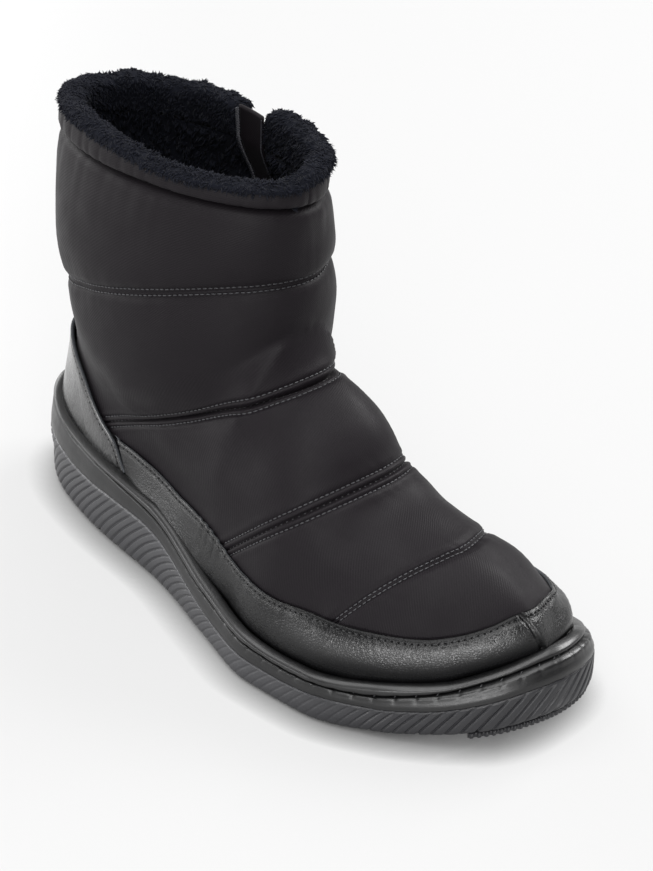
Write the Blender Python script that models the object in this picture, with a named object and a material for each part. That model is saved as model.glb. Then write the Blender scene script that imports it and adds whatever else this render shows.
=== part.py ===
"""Padded winter ankle boot for the right foot, as closed solids for each piece a maker joins.

Sizes below are in millimetres. X runs from the heel to the toe, Y to the wearer's left, where the
zip is, and Z up from the floor. At the end everything is moved so that the origin is the middle of
the boot's box on the floor, and scaled to metres.
"""
import bmesh
import bpy
import numpy as np

MM = 0.001
LENGTH = 275.0

# Plan of the outsole: share of the length from the heel, half widths from the middle line
OUTLINE = (
    # share, lateral, medial
    (0.00, 0.0, 0.0),
    (0.04, 19.2, 21.0),
    (0.10, 27.7, 30.0),
    (0.20, 34.1, 34.5),
    (0.35, 38.0, 33.0),
    (0.50, 49.0, 34.2),
    (0.62, 57.2, 39.8),
    (0.72, 56.9, 45.1),
    (0.82, 48.5, 46.4),
    (0.90, 36.7, 42.6),
    (0.96, 24.2, 31.0),
    (1.00, 0.0, 0.0),
)
TOE_SWING = 12.4
SWING_START = 0.45

# Underside of the outsole, with flats at heel and forefoot, a low arch and the toe spring
FLOOR = (
    # share, height
    (0.00, 1.8),
    (0.07, 0.0),
    (0.36, 0.0),
    (0.46, 1.0),
    (0.54, 1.0),
    (0.62, 0.0),
    (0.78, 0.0),
    (0.90, 4.2),
    (1.00, 11.7),
)
# Heights of the lines that run round the sole
SOLE_LINES = (
    # share, top of the outsole, crease under the bead, top of the bead
    (0.00, 23.0, 35.5, 40.2),
    (0.20, 23.0, 31.0, 35.8),
    (0.45, 17.0, 20.8, 26.0),
    (0.72, 12.8, 16.6, 22.0),
    (0.90, 17.4, 24.0, 29.6),
    (1.00, 30.0, 39.0, 43.6),
)
WALL_TOP = 1
CREASE = 2
BEAD_TOP = 3

RIB_COUNT = 104
RIB_DEPTH = 1.4
RIB_LEAN = 0.05
LUG_STEPS = 6
LUG_DEPTH = 1.6
SOLE_GAP = 0.3
TREAD_REACH = 0.62
TREAD_EDGE = 5.5
TREAD_TOOTH = 1.5
TREAD_FIELD = 9.0
BEAD_INSET = 3.7
BEAD_RADIUS = 2.4
TOE_INSET = 5.0
TOE_INSET_FROM = 0.80
UPPER_INSET = BEAD_INSET + BEAD_RADIUS + 0.4
UPPER_BACK = UPPER_INSET
UPPER_FRONT = LENGTH - UPPER_INSET - TOE_INSET
INSOLE_INSET = UPPER_INSET + 6.3
INSOLE_THICK = 4.0

# Profile of the upper along its front, from the toe over the vamp to the collar
FRONT = (
    # x, z
    (263.6, 39.5),
    (262.6, 45.5),
    (259.0, 52.0),
    (252.0, 57.5),
    (240.0, 61.5),
    (221.5, 66.0),
    (203.0, 71.0),
    (183.0, 82.0),
    (164.0, 95.0),
    (144.5, 106.0),
    (135.5, 113.5),
    (131.0, 124.0),
    (129.4, 148.0),
    (127.6, 188.0),
)
# Profile of the back, from the heel edge to the collar
BACK = (
    # z, x
    (35.0, 6.6),
    (58.0, 5.8),
    (74.0, 8.6),
    (86.0, 11.6),
    (97.0, 12.2),
    (112.0, 10.4),
    (140.0, 6.4),
    (190.0, 3.0),
)
# The shaft as a standing tube: front edge and half width by height
SHAFT = (
    # z, front x, half width, middle
    (36.0, 131.0, 16.0, 0.0),
    (54.0, 131.0, 22.0, 0.2),
    (72.0, 131.0, 30.5, 0.6),
    (92.0, 130.9, 38.0, 1.4),
    (110.0, 130.7, 42.0, 2.0),
    (128.0, 130.5, 43.6, 2.2),
    (150.0, 129.2, 42.6, 1.2),
    (190.0, 127.4, 38.0, -2.6),
)
FOREFOOT_ROUND = 2.3
JOIN_SHARPNESS = 10.0

# Quilting seams as lines seen from the side: a point on the front profile, one on the base or back
PANELS = (
    # front x, front z, end x, end z or none for the sole edge, puff of the panel above, rows in it
    (263.6, 39.5, 228.0, None, 1.2, 6),
    (221.5, 66.0, 188.0, None, 2.6, 5),
    (183.0, 82.0, 123.0, None, 3.2, 7),
    (144.5, 106.0, 30.0, None, 3.0, 9),
    (129.4, 148.5, 11.6, 101.0, 3.0, 5),
    (127.6, 187.0, 3.9, 175.5, 0.0, 0),
)
HEEL_ROW = 3
COLUMNS = 36
WALL = 5.0
COLLAR_SIDE_DROP = 0.15
COLLAR_DROP_FROM = 125.0

# Top edge of the leather mudguard, by the place along the sole edge
GUARD = (
    # x, height
    (64.0, 50.0),
    (84.0, 45.5),
    (109.0, 43.4),
    (139.0, 41.4),
    (167.0, 40.0),
    (187.0, 41.4),
    (216.0, 42.8),
    (233.0, 44.4),
    (243.0, 47.5),
    (250.0, 51.6),
    (254.5, 55.0),
    (264.0, 56.0),
)
# Front edge of the heel counter seen from the side, as height along the boot
COUNTER = (
    # x, height
    (4.0, 83.0),
    (24.0, 81.5),
    (38.0, 78.5),
    (48.0, 71.5),
    (55.0, 60.5),
    (63.0, 48.0),
    (74.0, 32.0),
)
GUARD_COLUMNS = 61
LEATHER_GAP = 0.5
COUNTER_GAP = 0.7
GUARD_THICK = 1.4
COUNTER_THICK = 1.6
PUFF_RISE = 12.0
PUFF_MARGIN = 8.0
COUNTER_MARGIN = 12.0
COUNTER_LEAN = 0.52

BAND_HEIGHT = 12.0
FUR_HEIGHT = 6.4
FUR_HALF = 7.5
FUR_LOCKS = 5
NOTCH_X = 74.0
NOTCH_HALF = 8.0

ZIP_LOW = 84.0
ZIP_TAPE_HALF = 10.0
ZIP_MARGIN = 8.0

LOOKS = {
    # piece: colour, roughness
    "rubber": ((0.030, 0.030, 0.032), 0.75),
    "leather": ((0.022, 0.022, 0.024), 0.42),
    "nylon": ((0.020, 0.021, 0.026), 0.50),
    "fur": ((0.016, 0.018, 0.026), 0.95),
    "foam": ((0.05, 0.05, 0.055), 0.90),
}


def columns(table, first, second):
    """Two columns of a table as arrays."""
    rows = np.array(table, dtype=float)
    return rows[:, first], rows[:, second]


def smooth(places, values, at):
    """A smooth curve through a short table that never overshoots its rows."""
    step = np.diff(places)
    rise = np.diff(values) / step
    slope = np.zeros(len(values))
    slope[0] = rise[0]
    slope[-1] = rise[-1]
    for i in range(1, len(values) - 1):
        if rise[i - 1] * rise[i] > 0:
            slope[i] = 2.0 * rise[i - 1] * rise[i] / (rise[i - 1] + rise[i])
    at = np.clip(at, places[0], places[-1])
    i = np.clip(np.searchsorted(places, at) - 1, 0, len(step) - 1)
    t = (at - places[i]) / step[i]
    start = (1 + 2 * t) * (1 - t) ** 2 * values[i] + t * (1 - t) ** 2 * step[i] * slope[i]
    end = t * t * (3 - 2 * t) * values[i + 1] + t * t * (t - 1) * step[i] * slope[i + 1]
    return start + end


def ease(t):
    """A soft ramp from 0 to 1."""
    t = np.clip(t, 0.0, 1.0)
    return t * t * (3 - 2 * t)


def outline(turn):
    """Plan point of the outsole at an angle: 0 at the heel, the lateral side first, pi at the toe."""
    share = (1 - np.cos(turn)) / 2
    angle = np.arccos(1 - 2 * share)
    shares, lateral = columns(OUTLINE, 0, 1)
    medial = columns(OUTLINE, 0, 2)[1]
    knots = np.arccos(1 - 2 * shares)
    middle = TOE_SWING * np.clip((share - SWING_START) / (1 - SWING_START), 0, 1) ** 2
    outer = middle - smooth(knots, lateral, angle)
    inner = middle + smooth(knots, medial, angle)
    return LENGTH * share, np.where(np.sin(turn) >= 0, outer, inner)


def inset_ring(turn, inset, toe_inset=0.0):
    """The outline moved inwards along its own normal, by more at the toe where asked."""
    x, y = outline(turn)
    x_next, y_next = outline(turn + 1e-3)
    x_last, y_last = outline(turn - 1e-3)
    out_x = y_next - y_last
    out_y = x_last - x_next
    size = np.hypot(out_x, out_y)
    depth = inset + toe_inset * ease((x / LENGTH - TOE_INSET_FROM) / (1 - TOE_INSET_FROM))
    return x - out_x / size * depth, y - out_y / size * depth


def even_turns(count):
    """Angles round the outline at equal steps along its edge, the same number on each side."""
    turns = []
    for side in (0, 1):
        fine = np.linspace(side * np.pi, (side + 1) * np.pi, 2000)
        x, y = outline(fine)
        run = np.concatenate(([0.0], np.cumsum(np.hypot(np.diff(x), np.diff(y)))))
        turns.append(np.interp(np.linspace(0, run[-1], count // 2 + 1)[:-1], run, fine))
    return np.concatenate(turns)


def floor_at(x):
    """Underside of the sole."""
    places, heights = columns(FLOOR, 0, 1)
    return smooth(places, heights, x / LENGTH)


def line_at(x, column):
    """Height of one of the lines round the sole."""
    places, heights = columns(SOLE_LINES, 0, column)
    return smooth(places, heights, x / LENGTH)


def solid(name, points, faces, look):
    """One closed mesh object with its own material."""
    mesh = bpy.data.meshes.new(name)
    mesh.from_pydata([tuple(p) for p in points], [], faces)
    work = bmesh.new()
    work.from_mesh(mesh)
    bmesh.ops.remove_doubles(work, verts=work.verts, dist=1e-4)
    bmesh.ops.triangulate(work, faces=work.faces)
    bmesh.ops.recalc_face_normals(work, faces=work.faces)
    work.to_mesh(mesh)
    work.free()
    item = bpy.data.objects.new(name, mesh)
    bpy.context.collection.objects.link(item)
    material = bpy.data.materials.new(name)
    material.use_nodes = True
    shader = material.node_tree.nodes["Principled BSDF"]
    colour, roughness = LOOKS[look]
    shader.inputs["Base Color"].default_value = (*colour, 1.0)
    shader.inputs["Roughness"].default_value = roughness
    mesh.materials.append(material)
    return item


def stacked(rings):
    """Points and faces of a body whose sides are closed rings, with a cap across each end."""
    count = len(rings[0])
    points = [p for ring in rings for p in ring]
    faces = []
    for k in range(len(rings) - 1):
        for i in range(count):
            j = (i + 1) % count
            faces.append((k * count + i, k * count + j, (k + 1) * count + j, (k + 1) * count + i))
    for k in (0, len(rings) - 1):
        for i in range(count // 2):
            corners = [i, i + 1, (count - i - 1) % count, (count - i) % count]
            loop = []
            for c in corners:
                if k * count + c not in loop:
                    loop.append(k * count + c)
            if k == 0:
                loop.reverse()
            faces.append(tuple(loop))
    return points, faces


def level(turn, inset, toe_inset, height):
    """A ring of points at a height that follows the boot's length."""
    x, y = inset_ring(turn, inset, toe_inset)
    return np.column_stack((x, y, height(outline(turn)[0])))


def outsole():
    """The moulded sole with leaning ribs round its side and channels between its lugs."""
    turn = even_turns(2 * RIB_COUNT)
    lean = turn + RIB_LEAN * np.sin(turn)
    rib = RIB_DEPTH * (np.arange(2 * RIB_COUNT) % 2)
    pair = np.minimum(np.arange(2 * RIB_COUNT), 2 * RIB_COUNT - np.arange(2 * RIB_COUNT))
    groove = np.where(pair % LUG_STEPS == LUG_STEPS // 2, LUG_DEPTH, 0.0)
    rings = (
        level(turn, 2.4, 0.0, lambda x: floor_at(x) + groove),
        level(turn, 0.2 + rib, 0.0, lambda x: floor_at(x) + 2.6),
        level(lean, 0.0 + rib, 0.0, lambda x: line_at(x, WALL_TOP) - 1.8),
        level(lean, 1.6, 0.5, lambda x: line_at(x, WALL_TOP)),
    )
    return solid("outsole", *stacked(rings), "rubber")


def toe_tread():
    """The thin rubber tread pad under the sprung toe: a smooth field with a toothed band round it."""
    count = 41
    last = count - 1
    turn = np.linspace(np.pi - TREAD_REACH, np.pi + TREAD_REACH, count)
    tooth = TREAD_TOOTH * (np.arange(count) % 2)
    points = []
    for inset, drop in ((TREAD_FIELD, 1.9), (TREAD_EDGE + tooth, 1.9),
                        (TREAD_EDGE + tooth, 0.3), (TREAD_FIELD, 0.3)):
        x, y = inset_ring(turn, inset)
        points.append(np.column_stack((x, y, floor_at(x) - drop)))
    faces = []
    for ring in range(3):
        for i in range(last):
            a = ring * count + i
            faces.append((a, a + 1, a + count + 1, a + count))
    ends = [ring * count for ring in range(4)]
    faces.append(tuple(ends))
    faces.append(tuple(a + last for a in reversed(ends)))
    faces.append((last, 0, 3 * count, 3 * count + last))
    for i in range(last // 2):
        loop = [i, i + 1, last - 1 - i, last - i]
        if i + 1 == last - 1 - i:
            loop = [i, i + 1, last - i]
        faces.append(tuple(reversed(loop)))
        faces.append(tuple(3 * count + c for c in loop))
    return solid("toe_tread", np.vstack(points), faces, "rubber")


def platform():
    """The wrapped platform between the outsole and the bead."""
    turn = even_turns(72)
    rings = (
        level(turn, 2.6, 0.5, lambda x: line_at(x, WALL_TOP) + SOLE_GAP),
        level(turn, 0.9, 0.6, lambda x: line_at(x, WALL_TOP) + SOLE_GAP + 0.9),
        level(turn, 1.5, 2.4, lambda x: line_at(x, CREASE) - 0.9),
        level(turn, 3.0, 3.0, lambda x: line_at(x, CREASE)),
    )
    return solid("platform", *stacked(rings), "leather")


def bead():
    """The rolled welt that covers the seam between the upper and the platform."""
    turn = even_turns(72)
    around = 6
    rings = []
    for k in range(around):
        angle = 2 * np.pi * k / around
        x, y = inset_ring(turn, BEAD_INSET - BEAD_RADIUS * np.cos(angle), TOE_INSET)
        low = line_at(outline(turn)[0], CREASE) + SOLE_GAP
        half = (line_at(outline(turn)[0], BEAD_TOP) - low) / 2
        rings.append(np.column_stack((x, y, low + half + half * np.sin(angle))))
    points = np.vstack(rings)
    faces = []
    for k in range(around):
        for i in range(72):
            j = (i + 1) % 72
            m = (k + 1) % around
            faces.append((k * 72 + i, k * 72 + j, m * 72 + j, m * 72 + i))
    return solid("welt_bead", points, faces, "leather")


def sole_place(x):
    """Place on the sole's edge that lies outside a place on the upper's edge."""
    return (x - UPPER_BACK) / (UPPER_FRONT - UPPER_BACK) * LENGTH


def base_height(x):
    """Lower edge of the upper, on the platform behind the bead."""
    return line_at(sole_place(x), CREASE) + SOLE_GAP + 0.1


def insole():
    """The loose insole inside the upper."""
    turn = even_turns(52)
    rings = (
        level(turn, INSOLE_INSET, TOE_INSET, lambda x: line_at(x, CREASE) + SOLE_GAP + 0.1),
        level(turn, INSOLE_INSET, TOE_INSET, lambda x: line_at(x, CREASE) + INSOLE_THICK),
    )
    return solid("insole", *stacked(rings), "foam")


def plan_half(x, back, side):
    """Half width of the upper's footprint at x, when its back edge stands at back."""
    turn = np.linspace(0, np.pi, 181) if side < 0 else np.linspace(2 * np.pi, np.pi, 181)
    edge_x, edge_y = inset_ring(turn, UPPER_INSET, TOE_INSET)
    share = np.clip((x - back) / (edge_x[-1] - back), 0, 1)
    angle = np.arccos(1 - 2 * share)
    edge_share = np.clip((edge_x - edge_x[0]) / (edge_x[-1] - edge_x[0]), 0, 1)
    edge_angle = np.arccos(1 - 2 * edge_share)
    width = side * (edge_y - middle_line(edge_x))
    return np.maximum(np.interp(angle, edge_angle, width), 0)


def middle_line(x):
    """The foot's middle line, which swings to the big toe."""
    return TOE_SWING * np.clip((x / LENGTH - SWING_START) / (1 - SWING_START), 0, 1) ** 2


def back_at(z):
    """Back profile."""
    places, values = columns(BACK, 0, 1)
    return smooth(places, values, z)


def ridge_at(x):
    """Height of the vamp's ridge, closed over behind the throat."""
    heights = np.linspace(FRONT[0][1], FRONT[11][1], 300)
    places = np.concatenate((front_at(heights), (110.0, 60.0, 0.0)))
    heights = np.concatenate((heights, (132.0, 138.0, 139.0)))
    return np.interp(x, places[::-1], heights[::-1])


def front_at(z):
    """Front profile by height."""
    places, heights = columns(FRONT, 0, 1)
    return smooth(heights, places, z)


def skin_y(x, z, side):
    """Sideways place of the upper's surface, seen from the side at x and z."""
    low = base_height(x)
    climb = np.clip((z - low) / np.maximum(ridge_at(x) - low, 1e-3), 0, 1)
    foot = plan_half(x, back_at(z), side) * np.sqrt(1 - climb ** FOREFOOT_ROUND)
    places, fronts = columns(SHAFT, 0, 1)
    halves = columns(SHAFT, 0, 2)[1]
    front = smooth(places, fronts, z)
    back = back_at(z)
    across = np.clip(1 - ((2 * x - front - back) / (front - back)) ** 2, 0, 1)
    tube = smooth(places, halves, z) * np.sqrt(across)
    half = (foot ** JOIN_SHARPNESS + tube ** JOIN_SHARPNESS) ** (1 / JOIN_SHARPNESS)
    lift = ease((z - 50.0) / 70.0)
    middle = middle_line(x) * (1 - lift) + smooth(places, columns(SHAFT, 0, 3)[1], z) * lift
    return middle + side * half


def collar_drop(y, z):
    """The shaft's top dips a little towards the zip side."""
    return COLLAR_SIDE_DROP * (y + 40.0) * ease((z - COLLAR_DROP_FROM) / 55.0)


def skin(turn, z):
    """A point on the upper's surface at an angle round the boot and a height."""
    back = back_at(z)
    x = back + (front_at(z) - back) * (1 - np.cos(turn)) / 2
    y = np.where(np.sin(turn) >= 0, skin_y(x, z, -1), skin_y(x, z, 1))
    return np.stack((x, y, z - collar_drop(y, z)), axis=-1)


def guard_top(x):
    """Top edge of the mudguard."""
    places, heights = columns(GUARD, 0, 1)
    return smooth(places, heights, x)


def counter_top(x):
    """Edge of the heel counter."""
    places, heights = columns(COUNTER, 0, 1)
    return smooth(places, heights, x)


def puff_mask(x, y, z):
    """Where the padding is free to swell: not under the leather and not under the zip."""
    over_guard = z - guard_top(x) - PUFF_MARGIN
    over_counter = np.where(x < 82.0, COUNTER_LEAN * (z - counter_top(x)) - COUNTER_MARGIN,
                            PUFF_RISE)
    free = ease(np.minimum(over_guard, over_counter) / PUFF_RISE)
    beside = ease((np.abs(x - NOTCH_X) - ZIP_TAPE_HALF - ZIP_MARGIN) / 8.0)
    zipped = (y > 0) & (z > ZIP_LOW - 12.0)
    return np.where(zipped, free * beside, free)


def walk(points):
    """Run along a line of points."""
    return np.concatenate(([0.0], np.cumsum(np.hypot(*np.diff(points, axis=0).T))))


def side_lines():
    """Rows of the upper: a front and an end point seen from the side, and the puff on each row."""
    heights = np.linspace(FRONT[0][1], FRONT[-1][1], 500)
    front = np.column_stack((front_at(heights), heights))
    base_x = np.linspace(FRONT[0][0], back_at(35.9), 400)
    base = np.column_stack((base_x, base_height(base_x)))
    rise = np.linspace(base[-1, 1], PANELS[-1][3], 300)[1:]
    base = np.vstack((base, np.column_stack((back_at(rise), rise))))
    front_run = walk(front)
    base_run = walk(base)
    heel_run = base_run[399]
    marks = []
    for front_x, front_z, end_x, end_z, puff, rows in PANELS:
        f = front_run[np.argmin(np.hypot(front[:, 0] - front_x, front[:, 1] - front_z))]
        end_height = base_height(np.array(end_x)) if end_z is None else end_z
        e = base_run[np.argmin(np.hypot(base[:, 0] - end_x, base[:, 1] - end_height))]
        marks.append((f, e, puff, rows))
    lines = []
    for k in range(len(marks) - 1):
        f0, e0, puff, rows = marks[k]
        f1, e1 = marks[k + 1][:2]
        shares = list(np.linspace(0, 1, rows + 1)[:-1])
        ends = [e0 + (e1 - e0) * share for share in shares]
        if k == HEEL_ROW:
            # Rows crowd towards the heel's edge, and one of them ends on it
            low = e0 + (heel_run - e0) * np.array((0.0, 0.42, 0.74, 0.94, 1.0))
            high = heel_run + (e1 - heel_run) * np.array((0.16, 0.32, 0.48, 0.66, 0.86))
            ends = list(np.concatenate((low, high)))
            shares = [0.0, 0.08, 0.17, 0.27, 0.38, 0.50, 0.61, 0.72, 0.83, 0.93]
        else:
            shares = [0.5 - 0.5 * np.cos(np.pi * s) * (0.55 + 0.45 * abs(np.cos(np.pi * s)))
                      for s in shares]
            ends = [e0 + (e1 - e0) * s for s in shares]
        for share, end in zip(shares, ends):
            lines.append((f0 + (f1 - f0) * share, end, puff * (1 - abs(2 * share - 1) ** 3)))
    lines.append((marks[-1][0], marks[-1][1], 0.0))
    rows = []
    for f, e, puff in lines:
        a = (np.interp(f, front_run, front[:, 0]), np.interp(f, front_run, front[:, 1]))
        b = (np.interp(e, base_run, base[:, 0]), np.interp(e, base_run, base[:, 1]))
        rows.append((np.array(a), np.array(b), puff, e >= heel_run - 1e-6, e / heel_run))
    return rows


def upper():
    """The hollow padded upper: quilted outside, smooth inside, open at the collar and underneath."""
    rows = side_lines()
    span = np.linspace(-1, 1, COLUMNS + 1)
    points = []
    puffs = []
    for a, b, puff, closed, share in rows:
        curl = ease((share - 0.72) / 0.28)
        reach = (1 - curl) * span ** 2 + curl * (1 - np.cos(np.pi * np.abs(span))) / 2
        x = a[0] + (b[0] - a[0]) * reach
        z = a[1] + (b[1] - a[1]) * reach
        y = np.where(span < 0, skin_y(x, z, -1), skin_y(x, z, 1))
        y[COLUMNS // 2] = (skin_y(x, z, -1)[COLUMNS // 2] + skin_y(x, z, 1)[COLUMNS // 2]) / 2
        if closed:
            y[0] = (y[0] + y[-1]) / 2
            y[-1] = y[0]
        points.append(np.column_stack((x, y, z - collar_drop(y, z))))
        puffs.append(puff * puff_mask(x, y, z))
    faces = []
    wide = COLUMNS + 1
    index = np.arange(len(rows) * wide).reshape(len(rows), wide)
    for k, row in enumerate(rows):
        if row[3]:
            index[k, -1] = index[k, 0]
    for k in range(len(rows) - 1):
        for i in range(COLUMNS):
            loop = []
            for c in (index[k, i], index[k, i + 1], index[k + 1, i + 1], index[k + 1, i]):
                if int(c) not in loop:
                    loop.append(int(c))
            if len(loop) > 2:
                faces.append(tuple(loop))
    points = np.vstack(points)
    puffs = np.concatenate(puffs)
    normals = np.zeros_like(points)
    for loop in faces:
        corner = points[list(loop)]
        push = np.cross(corner[1] - corner[0], corner[2] - corner[0])
        if len(loop) == 4:
            push = push + np.cross(corner[2] - corner[0], corner[3] - corner[0])
        for c in loop:
            normals[c] += push
    normals /= np.maximum(np.linalg.norm(normals, axis=1, keepdims=True), 1e-9)
    if normals[index[len(rows) // 2, COLUMNS // 2], 2] < 0:
        normals = -normals
    outer = points + normals * puffs[:, None]
    inner = points - normals * WALL
    return solid("upper", *shell(outer, inner, faces), "nylon")


def shell(outer, inner, faces):
    """Close the space between two sheets of the same pattern with a rim along their free edges."""
    count = len(outer)
    use = {}
    for loop in faces:
        for i in range(len(loop)):
            pair = (loop[i], loop[(i + 1) % len(loop)])
            key = (min(pair), max(pair))
            use[key] = None if key in use else pair
    body = list(faces)
    body += [tuple(count + c for c in reversed(loop)) for loop in faces]
    for pair in use.values():
        if pair is not None:
            a, b = pair
            body.append((b, a, count + a, count + b))
    used = sorted({c for loop in body for c in loop})
    place = {c: i for i, c in enumerate(used)}
    points = np.vstack((outer, inner))[used]
    return points, [tuple(place[c] for c in loop) for loop in body]


def sheet(rows):
    """Faces of a grid of points."""
    down = len(rows)
    wide = len(rows[0])
    faces = []
    for k in range(down - 1):
        for i in range(wide - 1):
            faces.append((k * wide + i, k * wide + i + 1, (k + 1) * wide + i + 1, (k + 1) * wide + i))
    return np.vstack(rows), faces


def patch(name, turns, heights, low, high, look):
    """A piece cut from the upper's own surface between two distances from it."""
    rows = []
    pushes = []
    for turn, z in zip(turns, heights):
        here = skin(turn, z)
        along = skin(turn + 4e-3, z) - skin(turn - 4e-3, z)
        up = skin(turn, z + 0.3) - skin(turn, z - 0.3)
        push = np.cross(along, up)
        rows.append(here)
        pushes.append(push / np.maximum(np.linalg.norm(push, axis=1, keepdims=True), 1e-9))
    points, faces = sheet(rows)
    push = np.vstack(pushes)
    return solid(name, *shell(points + push * high, points + push * low, faces), look)


def turn_of(x, z):
    """Angle round the boot at a place along it."""
    back = back_at(z)
    return np.arccos(np.clip(1 - 2 * (x - back) / (front_at(z) - back), -1, 1))


def mudguard():
    """Leather from the counter's edge on one side, round the toe, to the other."""
    heights = []
    turns = []
    share = np.linspace(0, 1, GUARD_COLUMNS)
    for k in np.linspace(0, 1, 5):
        z = np.full(GUARD_COLUMNS, 45.0)
        for _ in range(14):
            reach = 64.6 + (48.0 - z) * 0.68
            first = turn_of(reach, z)
            turn = first + (2 * np.pi - 2 * first) * share
            x = skin(turn, z)[:, 0]
            low = line_at(sole_place(x), BEAD_TOP) + 0.2
            z = 0.5 * z + 0.5 * (low + (guard_top(x) - low) * k)
        heights.append(z)
        turns.append(turn)
    return patch("mudguard", turns, heights, LEATHER_GAP, LEATHER_GAP + GUARD_THICK, "leather")


def counter():
    """Leather heel counter, highest at the back, with a slanting front edge on each side."""
    heights = []
    turns = []
    share = np.linspace(-1, 1, 25)
    for k in np.linspace(0, 1, 8):
        z = np.full(25, 60.0)
        turn = np.zeros(25)
        for _ in range(14):
            turn = turn_of(70.0, np.full(25, 40.0)) * share
            x = skin(turn, z)[:, 0]
            low = line_at(sole_place(x), BEAD_TOP) + 0.2
            z = 0.5 * z + 0.5 * (low + np.maximum(counter_top(x) - low, 1.5) * k)
        heights.append(z)
        turns.append(turn)
    return patch("heel_counter", turns, heights, COUNTER_GAP, COUNTER_GAP + COUNTER_THICK, "leather")


def rim_height(turn):
    """Height of the shaft's sloping rim at an angle round it."""
    share = (1 - np.cos(turn)) / 2
    return PANELS[-1][3] + (PANELS[-1][1] - PANELS[-1][3]) * share


def collar_path(count, notch):
    """Points and outward directions round the top of the shaft, from one side of the notch on."""
    middle = 2 * np.pi - turn_of(NOTCH_X, rim_height(np.array(0.0)))
    half = notch / 60.0
    turn = middle + np.linspace(half, 2 * np.pi - half, count)
    here = skin(turn, rim_height(turn))
    along = skin(turn + 4e-3, rim_height(turn)) - skin(turn - 4e-3, rim_height(turn))
    out = np.column_stack((along[:, 1], -along[:, 0], np.zeros(count)))
    return here, out / np.linalg.norm(out, axis=1, keepdims=True)


def collar_piece(name, section, count, notch, look, lump=0.0):
    """A strip swept round the collar, with closed ends at the notch."""
    here, out = collar_path(count, notch)
    around = len(section)
    points = []
    for i in range(count):
        for j, (offset, rise) in enumerate(section):
            swell = lump * ((i * FUR_LOCKS + j * 3) % 4 - 1.5) / 1.5
            points.append(here[i] + out[i] * (offset + swell * np.sign(offset + 4.5))
                          + np.array((0, 0, rise + swell * 0.6)))
    faces = []
    for i in range(count - 1):
        for j in range(around):
            m = (j + 1) % around
            faces.append((i * around + j, i * around + m, (i + 1) * around + m, (i + 1) * around + j))
    faces.append(tuple(range(around - 1, -1, -1)))
    faces.append(tuple((count - 1) * around + j for j in range(around)))
    return solid(name, points, faces, look)


def collar_band():
    """The nylon binding round the top of the shaft."""
    section = ((-4.6, 0.9), (0.4, 0.9), (1.9, 3.4), (1.9, 8.6), (0.0, BAND_HEIGHT), (-4.6, BAND_HEIGHT))
    return collar_piece("collar_band", section, 48, NOTCH_HALF, "nylon")


def collar_fur():
    """The roll of plush pile over the binding, with its locks standing out of it."""
    section = []
    for j in range(8):
        angle = 2 * np.pi * j / 8 + np.pi / 8
        section.append((-4.5 + FUR_HALF * np.cos(angle) * 0.95,
                        BAND_HEIGHT + 0.9 + FUR_HEIGHT / 2 + FUR_HEIGHT / 2 * np.sin(angle)))
    return collar_piece("collar_fur", section, 52, NOTCH_HALF, "fur", 0.8)


def medial_plate(name, x0, x1, z0, z1, low, high, look, steps):
    """A strip that lies against the zip side of the shaft."""
    rows = []
    pushes = []
    for z in np.linspace(z0, z1, steps):
        x = np.linspace(x0, x1, 4)
        y = skin_y(x, np.full(4, min(z, 181.0)), 1)
        rows.append(np.column_stack((x, y, np.full(4, z) - collar_drop(y, min(z, 181.0)))))
        slope = (skin_y(x + 0.5, np.full(4, min(z, 181.0)), 1)
                 - skin_y(x - 0.5, np.full(4, min(z, 181.0)), 1))
        push = np.column_stack((-slope, np.ones(4), np.zeros(4)))
        pushes.append(push / np.linalg.norm(push, axis=1, keepdims=True))
    points, faces = sheet(rows)
    push = np.vstack(pushes)
    return solid(name, *shell(points + push * high, points + push * low, faces), look)


def zip_guard():
    """The smooth flap behind the zip, which shows in the gap of the collar."""
    return medial_plate("zip_guard", NOTCH_X - 6.4, NOTCH_X + 6.4, 120.0, 201.0,
                        -(WALL + 3.2), -(WALL + 1.4), "nylon", 10)


def zip_tape():
    """The woven tape of the zip on the outside of the shaft."""
    return medial_plate("zip_tape", NOTCH_X - ZIP_TAPE_HALF, NOTCH_X + ZIP_TAPE_HALF,
                        ZIP_LOW, 178.5, 0.35, 1.25, "nylon", 12)


def clear():
    """Start from an empty scene."""
    for item in list(bpy.data.objects):
        bpy.data.objects.remove(item, do_unlink=True)


def settle(items):
    """Put the middle of the box at the origin, on the floor, and change millimetres to metres."""
    corners = np.vstack([[v.co[:] for v in item.data.vertices] for item in items])
    low = corners.min(axis=0)
    high = corners.max(axis=0)
    for item in items:
        for v in item.data.vertices:
            v.co.x = (v.co.x - (low[0] + high[0]) / 2) * MM
            v.co.y = (v.co.y - (low[1] + high[1]) / 2) * MM
            v.co.z = (v.co.z - low[2]) * MM


def main():
    """Make every piece."""
    clear()
    items = [outsole(), toe_tread(), platform(), bead(), insole(), upper(), mudguard(), counter(),
             collar_band(), collar_fur(), zip_guard(), zip_tape()]
    settle(items)


main()
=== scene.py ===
"""Looks of a padded winter ankle boot for the right foot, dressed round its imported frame.

Lengths in the tables are in millimetres, with X from heel to toe, Y to the wearer's left, where the
zip is, and Z up from the floor. Every piece is moved into the frame and scaled to metres at the end.
"""
import functools

import bpy
import numpy as np
from mathutils import Matrix, Vector


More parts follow.
